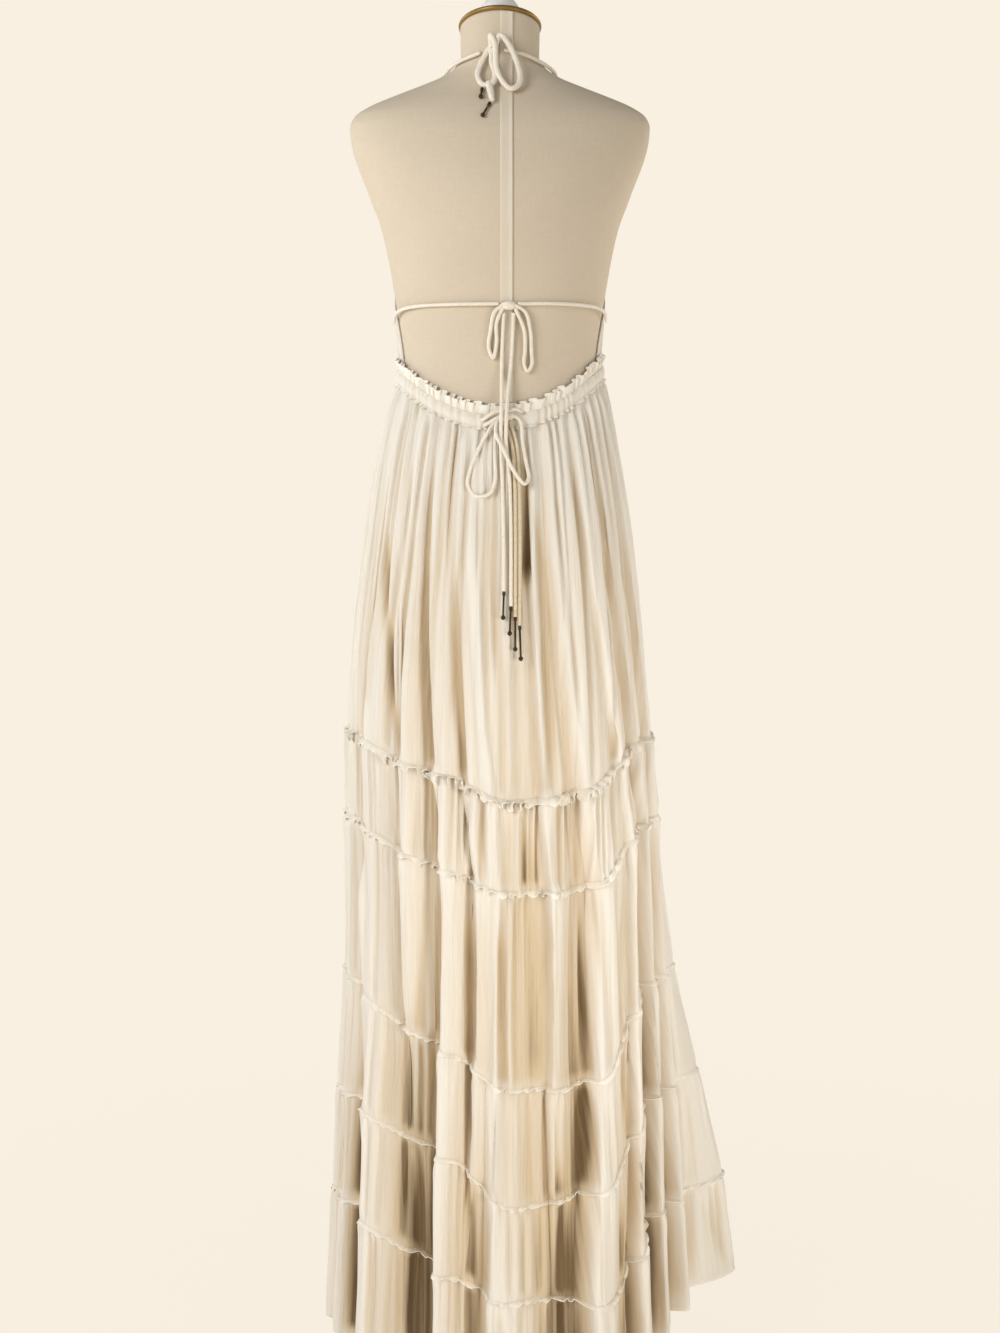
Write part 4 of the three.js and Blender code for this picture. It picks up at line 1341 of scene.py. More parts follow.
@dataclass
class Waist:
    """Puckered casing of the drawstring and the ruffled heading above it."""

    form: FormShape
    gauze: Material
    edging: Material
    thread: Material
    columns: int = 1260
    pucker: float = 1.0
    pucker_waves: Ruffle = Ruffle(74, 71, 1.4)
    # Painted shade: faint over the casing, deeper in the puckers' troughs and lighter on their crests.
    casing_shade: Pair = (0.92, 0.16)
    casing_flat: float = 0.026
    casing_cut: float = 0.027
    heading_waves: Ruffle = Ruffle(60, 83, 1.3, 0.3)
    heading_rows: int = 7
    heading_lift: float = 4.6
    heading_lean: Pair = (5.4, 2.1)
    heading_rise: float = 1.6
    heading_shift: float = 0.7
    heading_sway: float = 2.4
    heading_curve: float = 1.3
    heading_root: float = 0.4
    heading_radius: float = 110.0
    # Painted shade towards the heading's root by the casing, and painted light and shade on the sides of its
    # waves.
    heading_shade: Pair = (0.3, 0.2)
    heading_flat: float = 0.013
    heading_cut: float = 0.015
    edge: float = 0.6
    edge_sides: int = 5
    stitch_points: int = 240
    stitch_rows: tuple[tuple[str, float, float], ...] = (("lower", 2.4, 5.4), ("upper", 15.2, 5.6))
    profile: tuple[Triple, ...] = (
        (0.3, 1.2, 0.0), (0.3, 3.6, 0.4), (-1.4, 5.6, 2.4), (0.4, 6.0, 2.0), (2.4, 4.9, 0.4),
        (4.2, 5.7, 0.45), (7.0, 6.5, 0.4), (10.5, 6.7, 0.4), (13.4, 6.1, 0.6), (15.2, 5.1, 0.5),
        (16.6, 5.4, 0.6), (17.2, 4.4, 0.4), (17.0, 1.2, 0.0),
    )

    def casing(self) -> Piece:
        """Builds the casing and returns it."""
        turn = even_turns(self.columns)
        angle = np.radians(turn)
        wave = self.pucker_waves.strength(angle) * np.sin(self.pucker_waves.phase(angle))
        rise, lift, share = np.array(self.profile)[::-1].T[..., None]
        points = self.form.point(turn, WAIST.height(turn) + rise, lift + self.pucker * share * wave)
        # Painted shade in the puckers' troughs and painted light on their crests.
        shade = np.clip(self.casing_shade[0] + self.casing_shade[1] * share * wave[None], 0, 1)
        wide = ring_lengths(points).mean() * MM
        maker = MeshMaker()
        maker.ring(points, wide, np.linspace(0, self.casing_flat, len(points)), shade)
        piece = maker.make("waist_casing_cloth", self.gauze, Slot.GAUZE, "waist_casing")
        return piece

    def heading(self) -> Piece:
        """Builds the ruffled heading and returns it."""
        turn = even_turns(self.columns)
        angle = np.radians(turn)
        phase, strength = self.heading_waves.phase(angle), self.heading_waves.strength(angle)
        share = np.linspace(1, 0, self.heading_rows)[:, None]
        wave = share**self.heading_curve
        lift = self.heading_lift + (self.heading_lean[0] - self.heading_lift) * share
        lift = lift + self.heading_lean[1] * wave * strength * np.sin(phase)
        rise = CASING_HEIGHT - self.heading_root + (HEADING_HEIGHT + self.heading_root) * share
        rise = rise + self.heading_rise * wave * strength * np.cos(phase + self.heading_shift)
        sway = np.degrees(self.heading_sway * wave * np.cos(2 * phase) / self.heading_radius)
        points = self.form.point(turn + sway, WAIST.height(turn) + rise, lift)
        # Painted shade near the root and painted light and shade over the waves.
        shade = 1 - self.heading_shade[0] * (1 - share) + self.heading_shade[1] * np.sin(phase)[None]
        around = ring_lengths(points) * MM
        maker = MeshMaker()
        heights = np.linspace(0, self.heading_flat, self.heading_rows)
        maker.ring(points, around[0], heights, np.clip(shade, 0, 1))
        maker.tube(points[0], self.edge, self.edge_sides, closed=True, girth=4 * self.edge * MM)
        piece = maker.make("waist_heading_cloth", self.edging, Slot.GAUZE, "waist_heading")
        return piece

    def build(self) -> None:
        """Builds the casing, its heading and the stitching along both edges of the casing."""
        self.casing()
        self.heading()
        turn = even_turns(self.stitch_points)
        for name, rise, lift in self.stitch_rows:
            line = self.form.point(turn, WAIST.height(turn) + rise, lift)
            Stitches(f"waist_stitches_{name}", self.thread).along(line, closed=True)


# Stitching


@dataclass(frozen=True)
class Stitches:
    """A row of short stitches along a line."""

    name: str
    thread: Material
    length: float = 2.2
    pitch: float = 3.2
    radius: float = 0.28
    sides: int = 5

    def _tree(self) -> bpy.types.NodeTree:
        """Returns the node tree that sets stitches along a mesh of edges."""
        tree = bpy.data.node_groups.new("stitches_along_line", "GeometryNodeTree")
        builder = NodeBuilder(tree)
        for label, way in (("Line", "INPUT"), ("Stitches", "OUTPUT")):
            tree.interface.new_socket(label, in_out=way, socket_type="NodeSocketGeometry")
        line = builder.node("NodeGroupInput", output="Line")
        curve = builder.node("GeometryNodeMeshToCurve", {"Mesh": line})
        spacing = {"Curve": curve, "Length": self.pitch * MM}
        points = builder.node("GeometryNodeResampleCurve", spacing, mode="LENGTH")
        sizes = {"Vertices": self.sides, "Radius": self.radius * MM, "Depth": self.length * MM}
        stitch = builder.node("GeometryNodeMeshCylinder", sizes)
        tangent = builder.node("GeometryNodeInputTangent")
        turned = builder.node("FunctionNodeAlignRotationToVector", {"Vector": tangent}, axis="Z")
        placing = {"Points": points, "Instance": stitch, "Rotation": turned}
        placed = builder.node("GeometryNodeInstanceOnPoints", placing)
        real = builder.node("GeometryNodeRealizeInstances", {"Geometry": placed})
        dressed = builder.node("GeometryNodeSetMaterial", {"Geometry": real, "Material": self.thread})
        builder.end("NodeGroupOutput", "Stitches", dressed)
        return tree

    def along(self, line: Array, closed: bool) -> Piece:
        """Sews along a line.

        Args:
            line: Points in millimetres.
            closed: Whether the last point joins the first.

        Returns:
            The stitches as one plain mesh.
        """
        mesh = bpy.data.meshes.new(self.name)
        edges = [(n, n + 1) for n in range(len(line) - 1)]
        if closed:
            edges.append((len(line) - 1, 0))
        mesh.from_pydata((line * MM).tolist(), edges, [])
        piece = bpy.data.objects.new(self.name, mesh)
        bpy.context.scene.collection.objects.link(piece)
        piece.modifiers.new("sewing", "NODES").node_group = self._tree()
        shown = piece.evaluated_get(bpy.context.evaluated_depsgraph_get())
        sewn = bpy.data.meshes.new_from_object(shown)
        piece.modifiers.clear()
        piece.data = sewn
        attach(piece, "root")
        LOG.info("%s: %d faces", self.name, len(sewn.polygons))
        return piece


# Bodice


@dataclass(frozen=True)
class BodiceRow:
    """Half span in degrees of the bodice at a height, and how gathered it is there."""

    height: float
    span: float
    gather: float


BODICE_ROWS = tuple(
    BodiceRow(*row)
    for row in (
        (1222, 110, 0.0), (1245, 107, 0.0), (1295, 98, 0.3), (1312, 88, 0.6), (1330, 78, 1.0),
        (1350, 68, 1.0), (1372, 58, 1.0), (1400, 48, 1.0), (1436, 38, 1.0), (1471, 30, 1.0),
        (1506, 21, 1.0), (1520, 17, 0.8), (1527, 15, 0.6),
    )
)


@dataclass
class Bodice:
    """Gathered halter front and the casing along its top."""

    form: FormShape
    gauze: Material
    rows: int = 90
    columns: int = 260
    lift: float = 3.7
    gather_height: float = 1.3
    gathers: int = 30
    strays: tuple[Triple, ...] = ((1.1, 5, 0), (0.6, 13, 1))
    foot_gather: float = 0.75
    foot_fade: float = 22.0
    foot_rise: float = 17.8
    edge: float = 0.9
    edge_sides: int = 6
    edge_lift: float = 1.2
    edge_fade: Pair = (0.86, 0.98)
    # Painted shade over the bodice, deeper in the troughs of its gathers.
    shade: Pair = (0.8, 0.25)
    flat_half: float = 0.25
    cut_share: float = 0.62
    casing_height: float = 1533.0
    casing_span: float = 15.0
    casing_radius: float = 4.5
    casing_gap: float = 1.6
    casing_points: int = 61
    casing_sides: int = 20
    casing_inset: float = 0.4
    casing_puckers: int = 13
    casing_pucker: float = 0.45

    def front(self) -> Piece:
        """Builds the front panel and returns it."""
        place = np.linspace(0, len(BODICE_ROWS) - 1, self.rows)[::-1]
        table = np.array([(row.height, row.span, row.gather) for row in BODICE_ROWS])
        height, span, gather = smooth_between(np.arange(len(BODICE_ROWS)), table, place).T[..., None]
        across = np.linspace(1, -1, self.columns)[None]
        turn = 180 - span * across
        foot = WAIST.height(turn) + self.foot_rise
        at_foot = np.clip(1 - place, 0, 1)[:, None]
        heights = np.where(at_foot > 0, foot * at_foot + BODICE_ROWS[1].height * (1 - at_foot), height)
        stray = sum(amount * np.sin(waves * across + shift) for amount, waves, shift in self.strays)
        ripple = np.sin(self.gathers * math.pi * across + stray)
        near_foot = np.exp(-(heights - foot) / self.foot_fade)
        swell = self.gather_height * np.maximum(gather, self.foot_gather * near_foot) * ripple
        edge = 1 - soft_step(np.abs(across), *self.edge_fade)
        points = self.form.point(turn, heights, self.edge_lift + (self.lift - self.edge_lift + swell) * edge)
        maker = MeshMaker()
        uv = np.stack(np.broadcast_arrays(across * self.flat_half, -heights * MM), axis=-1)
        # Painted shade from the gathers.
        maker.grid(points, uv, crest=np.clip(self.shade[0] + self.shade[1] * swell, 0, 1))
        for column in (0, -1):
            maker.tube(points[:, column], self.edge, self.edge_sides)
        piece = maker.make("bodice_front_cloth", self.gauze, Slot.GAUZE, "bodice_front")
        wide = run_lengths(points.swapaxes(0, 1)).max() * MM
        return piece

    def neck_casing(self) -> Piece:
        """Builds the roll of cloth that the neck cord runs through and returns it."""
        turn = 180 + np.linspace(-1, 1, self.casing_points) * self.casing_span
        line = self.form.point(turn, self.casing_height, self.casing_gap + self.casing_radius, smooth=False)
        wave = np.sin(np.linspace(0, self.casing_puckers * 2 * math.pi, self.casing_points))
        maker = MeshMaker()
        radius = self.casing_radius - self.casing_inset + self.casing_pucker * wave
        maker.tube(line, radius, self.casing_sides)
        return maker.make("neck_casing_cloth", self.gauze, Slot.GAUZE, "neck_casing")

    def build(self) -> None:
        """Builds the front panel and the neck casing."""
        self.front()
        self.neck_casing()


# Cords


CORD = 4.4
ROULEAU = 6.4


@dataclass(frozen=True)
class Stop:
    """A point of a cord's route, by turn round the form or by distance across the back."""

    height: float
    lift: float = 0.0
    turn: float | None = None
    across: float = 0.0


def round_stops(*rows: Triple) -> tuple[Stop, ...]:
    """Returns stops from rows of turn, height and lift."""
    return tuple(Stop(height, lift, turn=turn) for turn, height, lift in rows)


def hanging_stops(*rows: Triple) -> tuple[Stop, ...]:
    """Returns stops from rows of distance across, height and lift."""
    return tuple(Stop(height, lift, across=across) for across, height, lift in rows)


@dataclass(frozen=True)
class Strand:
    """One stretch of cord between its ends; one without a tip ends in a knot."""

    name: str
    stops: tuple[Stop, ...]
    diameter: float = CORD
    lay: str = "hanging"
    node: str = ""
    tip: str = ""
    # shaded takes the darker copy of the cord, painted shade for ends that hang in a deep fold.
    shaded: bool = False
    sewn: bool = False


@dataclass(frozen=True)
class Knot:
    """A rounded knot: its place, its half sizes across, deep and tall, and the cord that comes out to it."""

    name: str
    node: str
    stop: Stop
    halves: Triple
    passes: tuple[tuple[Stop, ...], ...] = ()


@dataclass(frozen=True)
class TipSpot:
    """A bronze tip from its collar to its bead."""

    name: str
    collar: Stop
    bead: Stop


TIP_SPOTS = (
    TipSpot("neck_tip_long", *hanging_stops((-11.5, 1537.4, 0), (-21, 1520, 0))),
    TipSpot("neck_tip_short", *hanging_stops((-20.6, 1555.6, 0.5), (-22.5, 1543, 0.5))),
    TipSpot("back_tie_tip_left", *hanging_stops((4.5, 978.5, 0), (3.5, 946, 0))),
    TipSpot("back_tie_tip_right", *hanging_stops((12.5, 961.5, 0), (11, 928, 0))),
    TipSpot("drawstring_tip_inner", *hanging_stops((17.6, 949.5, 0), (17.5, 910, 0))),
    TipSpot("drawstring_tip_outer", *hanging_stops((22.6, 939.5, 0), (24, 899, 0))),
)
DRAWSTRING_PASSES = (
    hanging_stops((-21, 1174, -3.6), (-14, 1179, 0.2), (-5, 1184, 1.2), (5, 1184, 0.6)),
    hanging_stops((-18, 1168, -3.6), (-11, 1172, 0.2), (-3, 1177, 1.4), (5, 1180, 0.6)),
    hanging_stops((9, 1184, 0.6), (17, 1187, 0.8), (25, 1184, -3.6)),
)
KNOTS = (
    Knot("neck_knot", "neck_bow", Stop(1601, 0, across=-9), (7, 4, 6)),
    Knot("back_tie_knot", "back_tie_bow", Stop(1306, 0, across=10), (9.5, 4.5, 5)),
    Knot("drawstring_knot", "drawstring_bow", Stop(1179, -0.6, across=8), (9, 3.6, 5), DRAWSTRING_PASSES),
)
STRANDS = (
    Strand(
        "neck_cord_left_strand",
        round_stops(
            (197, 1534, 2), (214, 1566, 2.5), (245, 1580, 2), (270, 1586, 0.5), (300, 1592, 0.5),
            (325, 1597, 0.5), (333, 1599, 0.5),
        ),
        lay="taut", node="neck_cord_left",
    ),
    Strand(
        "neck_cord_right_strand",
        round_stops(
            (163, 1534, 2), (146, 1566, 2.5), (115, 1580, 2), (90, 1585, 0.5), (60, 1591, 0.5),
            (30, 1598, 0.5), (6, 1601, 0.5),
        ),
        lay="taut", node="neck_cord_right",
    ),
    Strand(
        "neck_long_loop",
        hanging_stops(
            (-10, 1604, 4), (-11, 1617, 5), (-6, 1608, 9), (-4, 1578, 9), (5, 1560, 6), (13, 1554, 5),
            (21, 1559, 5), (23, 1569, 6), (19, 1587, 8), (9, 1608, 7), (0, 1617, 5), (-6, 1604, 3),
        ),
        ROULEAU,
    ),
    Strand(
        "neck_small_loop",
        hanging_stops(
            (-13, 1602, 1), (-21, 1588, 3), (-26, 1572, 3), (-20, 1560, 3), (-9, 1561, 4), (-6, 1572, 4),
            (-10, 1588, 3), (-9, 1600, 1),
        ),
        ROULEAU,
    ),
    Strand(
        "back_tie_left_strand",
        round_stops(
            (-84.6, 1289, 1.8), (-75, 1300, 1.8), (-64, 1305, 0.9), (-48, 1307.5, 0), (-26, 1308, 0),
            (-9, 1308, 0), (-0.8, 1308, 0),
        ),
        lay="taut", node="back_tie_left", sewn=True,
    ),
    Strand(
        "back_tie_right_strand",
        round_stops(
            (84.6, 1292, 1.8), (75, 1302, 1.8), (64, 1306.5, 0.9), (48, 1308.5, 0), (26, 1309, 0),
            (9.7, 1308, 0),
        ),
        lay="taut", node="back_tie_right", sewn=True,
    ),
    Strand(
        "back_tie_loop_left",
        hanging_stops(
            (3, 1306, 3), (-6, 1299, 3), (-11, 1278, 1), (-13, 1258, 0), (-8, 1246, 0), (-4, 1264, 1),
            (-4, 1286, 3), (3, 1303, 3),
        ),
    ),
    Strand(
        "back_tie_loop_right",
        hanging_stops(
            (16, 1307, 3), (29, 1299, 3), (35, 1278, 1), (36.5, 1254, 0), (37, 1239, 0), (32, 1231, 0),
            (28, 1239, 0), (29, 1256, 1), (28, 1278, 3), (18, 1302, 3),
        ),
    ),
    Strand(
        "back_tie_end_left_strand",
        hanging_stops(
            (4.6, 1297, 1.5), (3, 1270, 0), (2, 1236, 1), (2, 1206, 9), (1.5, 1180, 9), (1, 1150, 6),
            (2.5, 1105, 0), (4, 1048, 0), (4.5, 979, 0),
        ),
        node="back_tie_end_left", tip="back_tie_tip_left",
    ),
    Strand(
        "back_tie_end_right_strand",
        hanging_stops(
            (15.6, 1297, 1.5), (14.5, 1270, 0), (12.5, 1236, 1), (9, 1206, 9), (7.5, 1180, 9),
            (7, 1150, 6), (11, 1105, 0), (12.5, 1048, 0), (12.5, 962, 0),
        ),
        node="back_tie_end_right", tip="back_tie_tip_right",
    ),
    Strand(
        "drawstring_loop_left",
        hanging_stops(
            (2, 1179, 0), (-9, 1168, 0), (-25, 1140, 0), (-35, 1115, 0), (-37, 1099, 0), (-27, 1087, 0),
            (-12, 1090, 0), (-6, 1104, 0), (-6, 1134, 0), (-4, 1164, 0), (4, 1177, 0),
        ),
    ),
    Strand(
        "drawstring_loop_right",
        hanging_stops(
            (13, 1181, 0), (23, 1174, 1), (26, 1151, 1), (30, 1126, 2), (33, 1108, 4), (28, 1101, 8),
            (17, 1114, 10), (5, 1138, 13), (-5, 1160, 9), (-3, 1173, 3), (3, 1179, 0),
        ),
    ),
    # The two drawstring ends that follow take the cord in painted shade.
    Strand(
        "drawstring_end_inner_strand",
        hanging_stops((5.4, 1171, -0.5), (14, 1146, -0.5), (17, 1105, 0), (17.8, 1048, 0), (17.6, 950, 0)),
        node="drawstring_end_inner", tip="drawstring_tip_inner", shaded=True,
    ),
    Strand(
        "drawstring_end_outer_strand",
        hanging_stops((11.4, 1173, 0.6), (19.4, 1146, -0.5), (22, 1105, 0), (23, 1048, 0), (22.6, 940, 0)),
        node="drawstring_end_outer", tip="drawstring_tip_outer", shaded=True,
    ),
)
BOUND_END = hanging_stops((-13, 1562, 2), (-11, 1552, 1), (-9, 1540, 0))


@dataclass
class Cords:
    """Neck cord, back tie and drawstring with their bows and bronze tips."""

    form: FormShape
    cord: Material
    # Darker copy of the cord, painted shade.
    shaded: Material
    bronze: Material
    gap: float = 1.6
    bulge: float = 7.7
    step: float = 2.0
    sides: int = 12
    wrinkle: float = 0.03
    wrinkle_rate: float = 0.9
    sewn_share: float = 0.35
    sewn_length: float = 15.0
    tip_collar: float = 1.9
    tip_stick: float = 1.2
    tip_bead: float = 2.7
    tip_collar_length: float = 5.0
    tip_lip: Pair = (0.4, 0.8)
    tip_groove: Pair = (0.3, 0.9)
    tip_end: float = 0.6
    tip_sides: int = 20
    bead_arc: Pair = (0.45, 3.0)
    bead_rows: int = 9
    knot_rows: int = 25
    knot_columns: int = 40
    knot_pole: float = 0.06
    knot_wrap: float = 0.07
    knot_turns: tuple[int, int] = (3, 4)
    knot_map: float = 0.02
    bound_radius: float = 4.8
    bound_swell: float = 0.2
    bound_taper: float = 0.25
    bound_sides: int = 16

    def _depth(self, height: float) -> float:
        """Returns the depth of the back at a height, out to what a hanging cord lies on."""
        back = float(self.form.sizes(height, smooth=False)[1])
        if height > WAIST.z_back + CASING_HEIGHT + HEADING_HEIGHT + CORD:
            return back
        if height >= WAIST.z_back:
            return back + self.bulge
        below = next(n for n, ring in enumerate(RINGS) if ring.z_back <= height)
        low, high = RINGS[below], RINGS[below - 1]
        high_back = high.back or float(self.form.sizes(high.z_back, smooth=False)[1]) + self.bulge
        share = (height - low.z_back) / (high.z_back - low.z_back)
        return low.back + (high_back - low.back) * share

    def place(self, stop: Stop, diameter: float) -> Array:
        """Finds the point of a stop.

        Args:
            stop: The stop.
            diameter: Diameter of the cord, which lies on the form or the skirt.

        Returns:
            The point.
        """
        lift = self.gap + diameter / 2 + stop.lift
        if stop.turn is not None:
            return self.form.point(stop.turn, stop.height, lift, smooth=False)
        half = float(self.form.sizes(stop.height, smooth=False)[0])
        roundness = math.sqrt(1 - (stop.across / half) ** 2)
        return np.array((stop.across, -self._depth(stop.height) * roundness - lift, stop.height))

    def route(self, stops: Sequence[Stop], diameter: float) -> Array:
        """Runs a smooth line through stops.

        Args:
            stops: Stops in order.
            diameter: Diameter of the cord.

        Returns:
            Points about a step apart.
        """
        given = np.array([self.place(stop, diameter) for stop in stops])
        given = np.concatenate([[2 * given[0] - given[1]], given, [2 * given[-1] - given[-2]]])
        line = []
        for a, b, c, d in zip(given, given[1:], given[2:], given[3:]):
            first, middle, last = (math.sqrt(np.linalg.norm(q - p)) for p, q in ((a, b), (b, c), (c, d)))
            leave = ((b - a) / first - (c - a) / (first + middle) + (c - b) / middle) * middle
            arrive = ((c - b) / middle - (d - b) / (middle + last) + (d - c) / last) * middle
            count = max(2, round(np.linalg.norm(c - b) / self.step))
            line.extend(hermite((np.arange(count) / count)[:, None], b, leave, c, arrive))
        return np.array([*line, given[-2]])

    def tip(self, spot: TipSpot) -> Piece:
        """Builds a bronze tip and returns it."""
        start, end = self.place(spot.collar, CORD), self.place(spot.bead, CORD)
        length = float(np.linalg.norm(end - start))
        collar, stick, bead = self.tip_collar, self.tip_stick, self.tip_bead
        foot, (lip, lip_share), (bevel, groove_share) = self.tip_collar_length, self.tip_lip, self.tip_groove
        table = [
            (0.0, lip_share * collar),
            (lip, collar),
            (0.5 * foot - bevel, collar),
            (0.5 * foot, groove_share * collar),
            (0.5 * foot + bevel, collar),
            (foot - bevel, collar),
            (foot, stick),
            (max(length - 2 * bead, foot + bevel), stick),
        ]
        for turn in np.linspace(*self.bead_arc, self.bead_rows):
            radius = max(stick * self.tip_end, bead * math.sin(turn))
            table.append((length - bead * (1 + math.cos(turn)), radius))
        along, radius = np.array(sorted(table)).T
        line = start[None] + (end - start)[None] * (along / length)[:, None]
        maker = MeshMaker()
        maker.tube(line, radius, self.tip_sides)
        return maker.make(f"{spot.name}_bronze", self.bronze, Slot.BRONZE, spot.name)

    def strand(self, strand: Strand, tips: dict[str, Piece]) -> Piece:
        """Builds one stretch of cord.

        Args:
            strand: Its facts.
            tips: Tips by the names of their nodes; not used.

        Returns:
            The piece.
        """
        line = self.route(strand.stops, strand.diameter)
        girth = 1 + self.wrinkle * np.sin(np.arange(len(line)) * self.wrinkle_rate)
        if strand.sewn:
            along = np.linalg.norm(line - line[0], axis=1)
            girth *= self.sewn_share + (1 - self.sewn_share) * soft_step(along, 0.0, self.sewn_length)
        maker = MeshMaker()
        maker.tube(line, 0.5 * strand.diameter * girth, self.sides)
        # Painted shade: a darker copy of the cord for ends that hang in a fold.
        finish = self.shaded if strand.shaded else self.cord
        piece = maker.make(strand.name, finish, Slot.CORD, strand.node)
        return piece

    def knot(self, knot: Knot) -> Piece:
        """Builds a knot with the wraps of its cord showing, and returns it."""
        across, deep, tall = knot.halves
        down = np.linspace(self.knot_pole, math.pi - self.knot_pole, self.knot_rows)[:, None]
        on = np.arange(self.knot_columns)[None] * 2 * math.pi / self.knot_columns
        wrap = np.sin(self.knot_turns[0] * on + self.knot_turns[1] * down) * np.sin(down)
        wrap = 1 + self.knot_wrap * wrap
        x = across * wrap * np.sin(down) * np.sin(on)
        y = -deep * wrap * np.sin(down) * np.cos(on)
        z = tall * wrap * np.cos(down)
        points = self.place(knot.stop, 2 * deep) + np.stack([x, y, z], axis=-1)
        maker = MeshMaker()
        maker.ring(points, 1.0, np.linspace(0, self.knot_map, self.knot_rows), caps=2)
        for stops in knot.passes:
            maker.tube(self.route(stops, CORD), 0.5 * CORD, self.sides)
        return maker.make(knot.name, self.cord, Slot.CORD, knot.node)

    def bound_end(self) -> Piece:
        """Builds the bound end under the neck bow and returns it."""
        line = self.route(BOUND_END, 2 * self.bound_radius)
        share = np.linspace(0, 1, len(line))
        maker = MeshMaker()
        swell = 1 - self.bound_swell * (1 - np.sin(share * math.pi))
        maker.tube(line, self.bound_radius * swell * (1 - self.bound_taper * share), self.bound_sides)
        return maker.make("neck_bound_end", self.cord, Slot.CORD)

    def build(self) -> None:
        """Builds the tips, then the strands, then the knots."""
        tips = {spot.name: self.tip(spot) for spot in TIP_SPOTS}
        for strand in STRANDS:
            self.strand(strand, tips)
        for knot in KNOTS:
            self.knot(knot)
        self.bound_end()


# Dress form and stand


@dataclass(frozen=True)
class Turned:
    """A piece turned about the upright axis, by radius and height from its top down."""

    node: str
    slot: Slot
    profile: tuple[Pair, ...]
    leans: bool = False


TURNED = (
    Turned(
        "form_neck_knob",
        Slot.KNOB,
        (
            (2, 29.9), (9, 29.2), (15, 27.4), (19, 25), (22, 20.5), (23, 15.5), (22.2, 12), (19.5, 9),
            (16, 7), (15, 5.5), (15, 0),
        ),
        leans=True,
    ),
    Turned("stand_pole", Slot.STAND, ((15.4, 904.6), (16, 904), (16, 43), (15.6, 42.4))),
    Turned(
        "stand_base",
        Slot.STAND,
        (
            (24, 42), (26, 40.5), (26, 19), (28, 17), (60, 14.6), (100, 11.4), (125, 9.4), (128.5, 8.8),
            (130, 7), (130, 1), (129, 0),
        ),
    ),
)


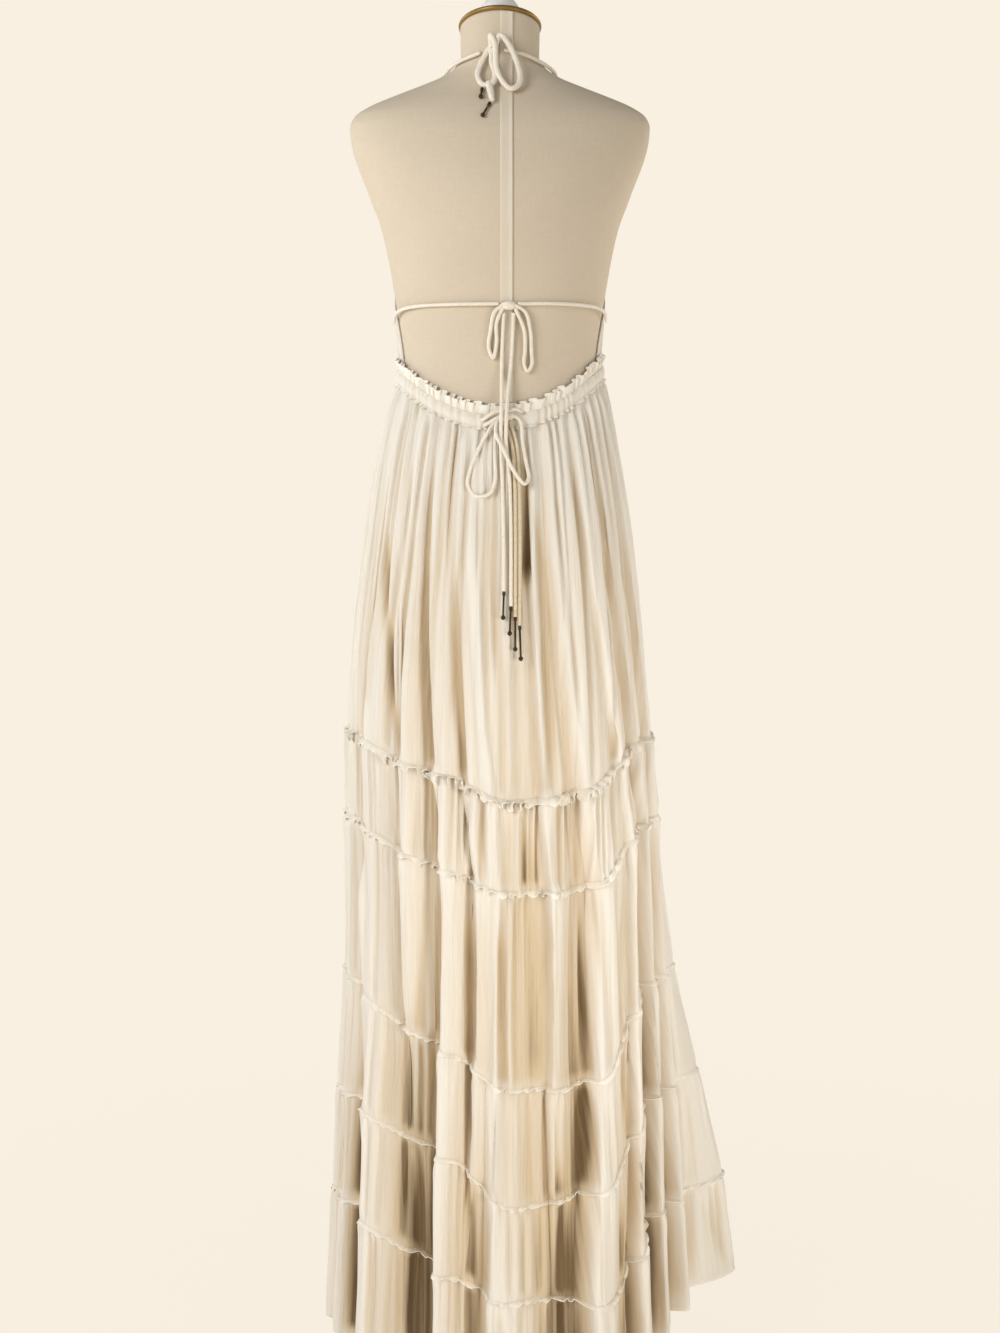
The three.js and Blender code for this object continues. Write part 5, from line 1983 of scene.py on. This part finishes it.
@dataclass
class DressForm:
    """Linen torso with its tape, neck rim, knob, pole and base."""

    form: FormShape
    linen: Material
    tape: Material
    brass: Material
    knob_paint: Material
    iron: Material
    thread: Material
    columns: int = 192
    shoulder: float = 1506.0
    shoulder_rows: int = 70
    body_rows: int = 110
    tape_low: float = 1195.0
    tape_width: float = 15.0
    tape_rows: int = 150
    tape_across: Row = (0.0, 0.0, 0.12, 0.3, 0.5, 0.7, 0.82, 0.9, 0.96, 1.0, 1.0)
    tape_lift: Row = (0.1, 0.75, 0.95, 0.8, 0.7, 0.7, 1.2, 2.2, 1.8, 0.8, 0.1)
    tape_seams: tuple[tuple[str, int], ...] = (("left", 2), ("right", 5))
    tape_thread: float = 0.2
    stitch_step: int = 3
    rim_height: float = 6.0
    rim_profile: tuple[Pair, ...] = (
        (6.3, -6.0), (6.3, -1.2), (5.8, 0.2), (4.4, 1.6), (3.2, 2.0), (1.8, 1.6), (0.6, 0.6), (0.3, -0.4),
    )
    rim_map: Pair = (0.3, 0.02)
    turned_map: float = 0.1
    sides: int = 96
    seam_gap: float = 0.3

    def torso(self) -> Piece:
        """Builds the torso and returns it."""
        low, high = self.form.rows[0].height, self.form.rows[-1].height
        shoulders = np.linspace(high, self.shoulder, self.shoulder_rows)
        height = np.concatenate([shoulders, np.linspace(self.shoulder - 1, low, self.body_rows)])
        points = self.form.slanted(self.form.point(even_turns(self.columns)[None], height[:, None], 0.0))
        maker = MeshMaker()
        maker.ring(points, ring_lengths(points).mean() * MM, -height * MM, caps=2)
        return maker.make("form_torso_linen", self.linen, Slot.LINEN, "form_torso")

    def back_tape(self) -> Piece:
        """Builds the centre back tape with its stitched edges and returns it."""
        height = np.linspace(self.form.rows[-1].height - 1, self.tape_low, self.tape_rows)[:, None]
        across, lift = np.array(self.tape_across)[None], np.array(self.tape_lift)[None]
        turn = np.degrees(np.arcsin(across * self.tape_width / self.form.sizes(height)[..., 0]))
        points = self.form.slanted(self.form.point(turn, height, lift))
        uv = np.stack(np.broadcast_arrays(across * self.tape_width * MM, -height * MM), axis=-1)
        maker = MeshMaker()
        maker.grid(points, uv)
        piece = maker.make("form_back_tape_cloth", self.tape, Slot.TAPE, "form_back_tape")
        for name, column in self.tape_seams:
            seam = Stitches(f"tape_stitches_{name}", self.thread, radius=self.tape_thread)
            seam.along(points[:: self.stitch_step, column], closed=False)
        return piece

    def turned(self, shape: Turned, material: Material) -> Piece:
        """Builds a turned piece.

        Args:
            shape: Its facts.
            material: Finish.

        Returns:
            The piece.
        """
        sine, cosine = sine_cosine(even_turns(self.sides)[None])
        radius, height = np.array(shape.profile).T[..., None]
        points = np.stack(np.broadcast_arrays(radius * sine, -radius * cosine, height), axis=-1)
        if shape.leans:
            points = self._leaning(points)
        maker = MeshMaker()
        maker.ring(points, self.turned_map, np.linspace(0, self.turned_map, len(points)), caps=2)
        return maker.make(f"{shape.node}_paint", material, shape.slot, shape.node)

    def _leaning(self, points: Array) -> Array:
        """Returns the knob's points, leant with the neck and set on its rim."""
        lean = -math.atan(self.form.slant)
        seat = self.form.rows[-1].height + 2 * self.seam_gap + self.rim_height
        x, y, z = np.moveaxis(points, -1, 0)
        back = y * math.cos(lean) - z * math.sin(lean)
        return np.stack([x, back, seat + y * math.sin(lean) + z * math.cos(lean)], axis=-1)

    def rim(self) -> Piece:
        """Builds the neck rim and returns it."""
        rise, lift = np.array(self.rim_profile).T[..., None]
        points = self.form.point(even_turns(self.sides), self.form.rows[-1].height, lift)
        points[..., 2] += rise - self.form.slant * points[..., 1]
        maker = MeshMaker()
        maker.ring(points, self.rim_map[0], np.linspace(0, self.rim_map[1], len(points)), caps=1)
        return maker.make("form_neck_rim_brass", self.brass, Slot.RIM, "form_neck_rim")

    def build(self) -> None:
        """Builds the torso, its trimmings and the stand."""
        self.torso()
        self.back_tape()
        self.rim()
        for shape in TURNED:
            self.turned(shape, self.knob_paint if shape.slot is Slot.KNOB else self.iron)


def main() -> None:
    """Builds the studio, the cords, the cloth and the form."""
    logging.basicConfig(level=logging.INFO, format="%(name)s: %(message)s")
    Studio().build()
    gauze = GauzeFinish().make()
    # A lighter copy of the gauze for the frills and heading: painted light on them, with darker painted shade
    # where they cross the folds.
    edging = GauzeFinish(
        "gauze_edging_painted_light_and_shade", (0.92, 0.88, 0.805), (0.76, 0.655, 0.50), (0.30, 0.21, 0.12), see_through=0.04
    ).make()
    cord = CordFinish().make()
    # Darker copy of the cord: painted shade for the drawstring ends in a deep fold.
    shaded = CordFinish("cord_painted_shade", (0.76, 0.66, 0.50), (0.55, 0.44, 0.29)).make()
    bronze = HardFinish("dark_bronze", (0.030, 0.020, 0.010), (0.085, 0.058, 0.026), 0.85, 0.42).make()
    linen = LinenFinish("beige_linen", (0.69, 0.605, 0.485), (0.56, 0.472, 0.36)).make()
    tape = LinenFinish("pale_tape", (0.76, 0.695, 0.59), (0.63, 0.55, 0.44), 1400.0).make()
    brass = HardFinish("dull_brass", (0.23, 0.135, 0.032), (0.34, 0.21, 0.06), 0.7, 0.45).make()
    knob = HardFinish("pale_satin", (0.80, 0.80, 0.79), (0.86, 0.86, 0.85), 0.0, 0.4).make()
    iron = HardFinish("dark_paint", (0.025, 0.024, 0.023), (0.04, 0.038, 0.035), 0.3, 0.5).make()
    form = FormShape()
    Cords(form, cord, shaded, bronze).build()
    DressForm(form, linen, tape, brass, knob, iron, cord).build()
    Skirt(form, gauze, edging).build()
    Waist(form, gauze, edging, cord).build()
    Bodice(form, gauze).build()


if __name__ == "__main__":
    main()
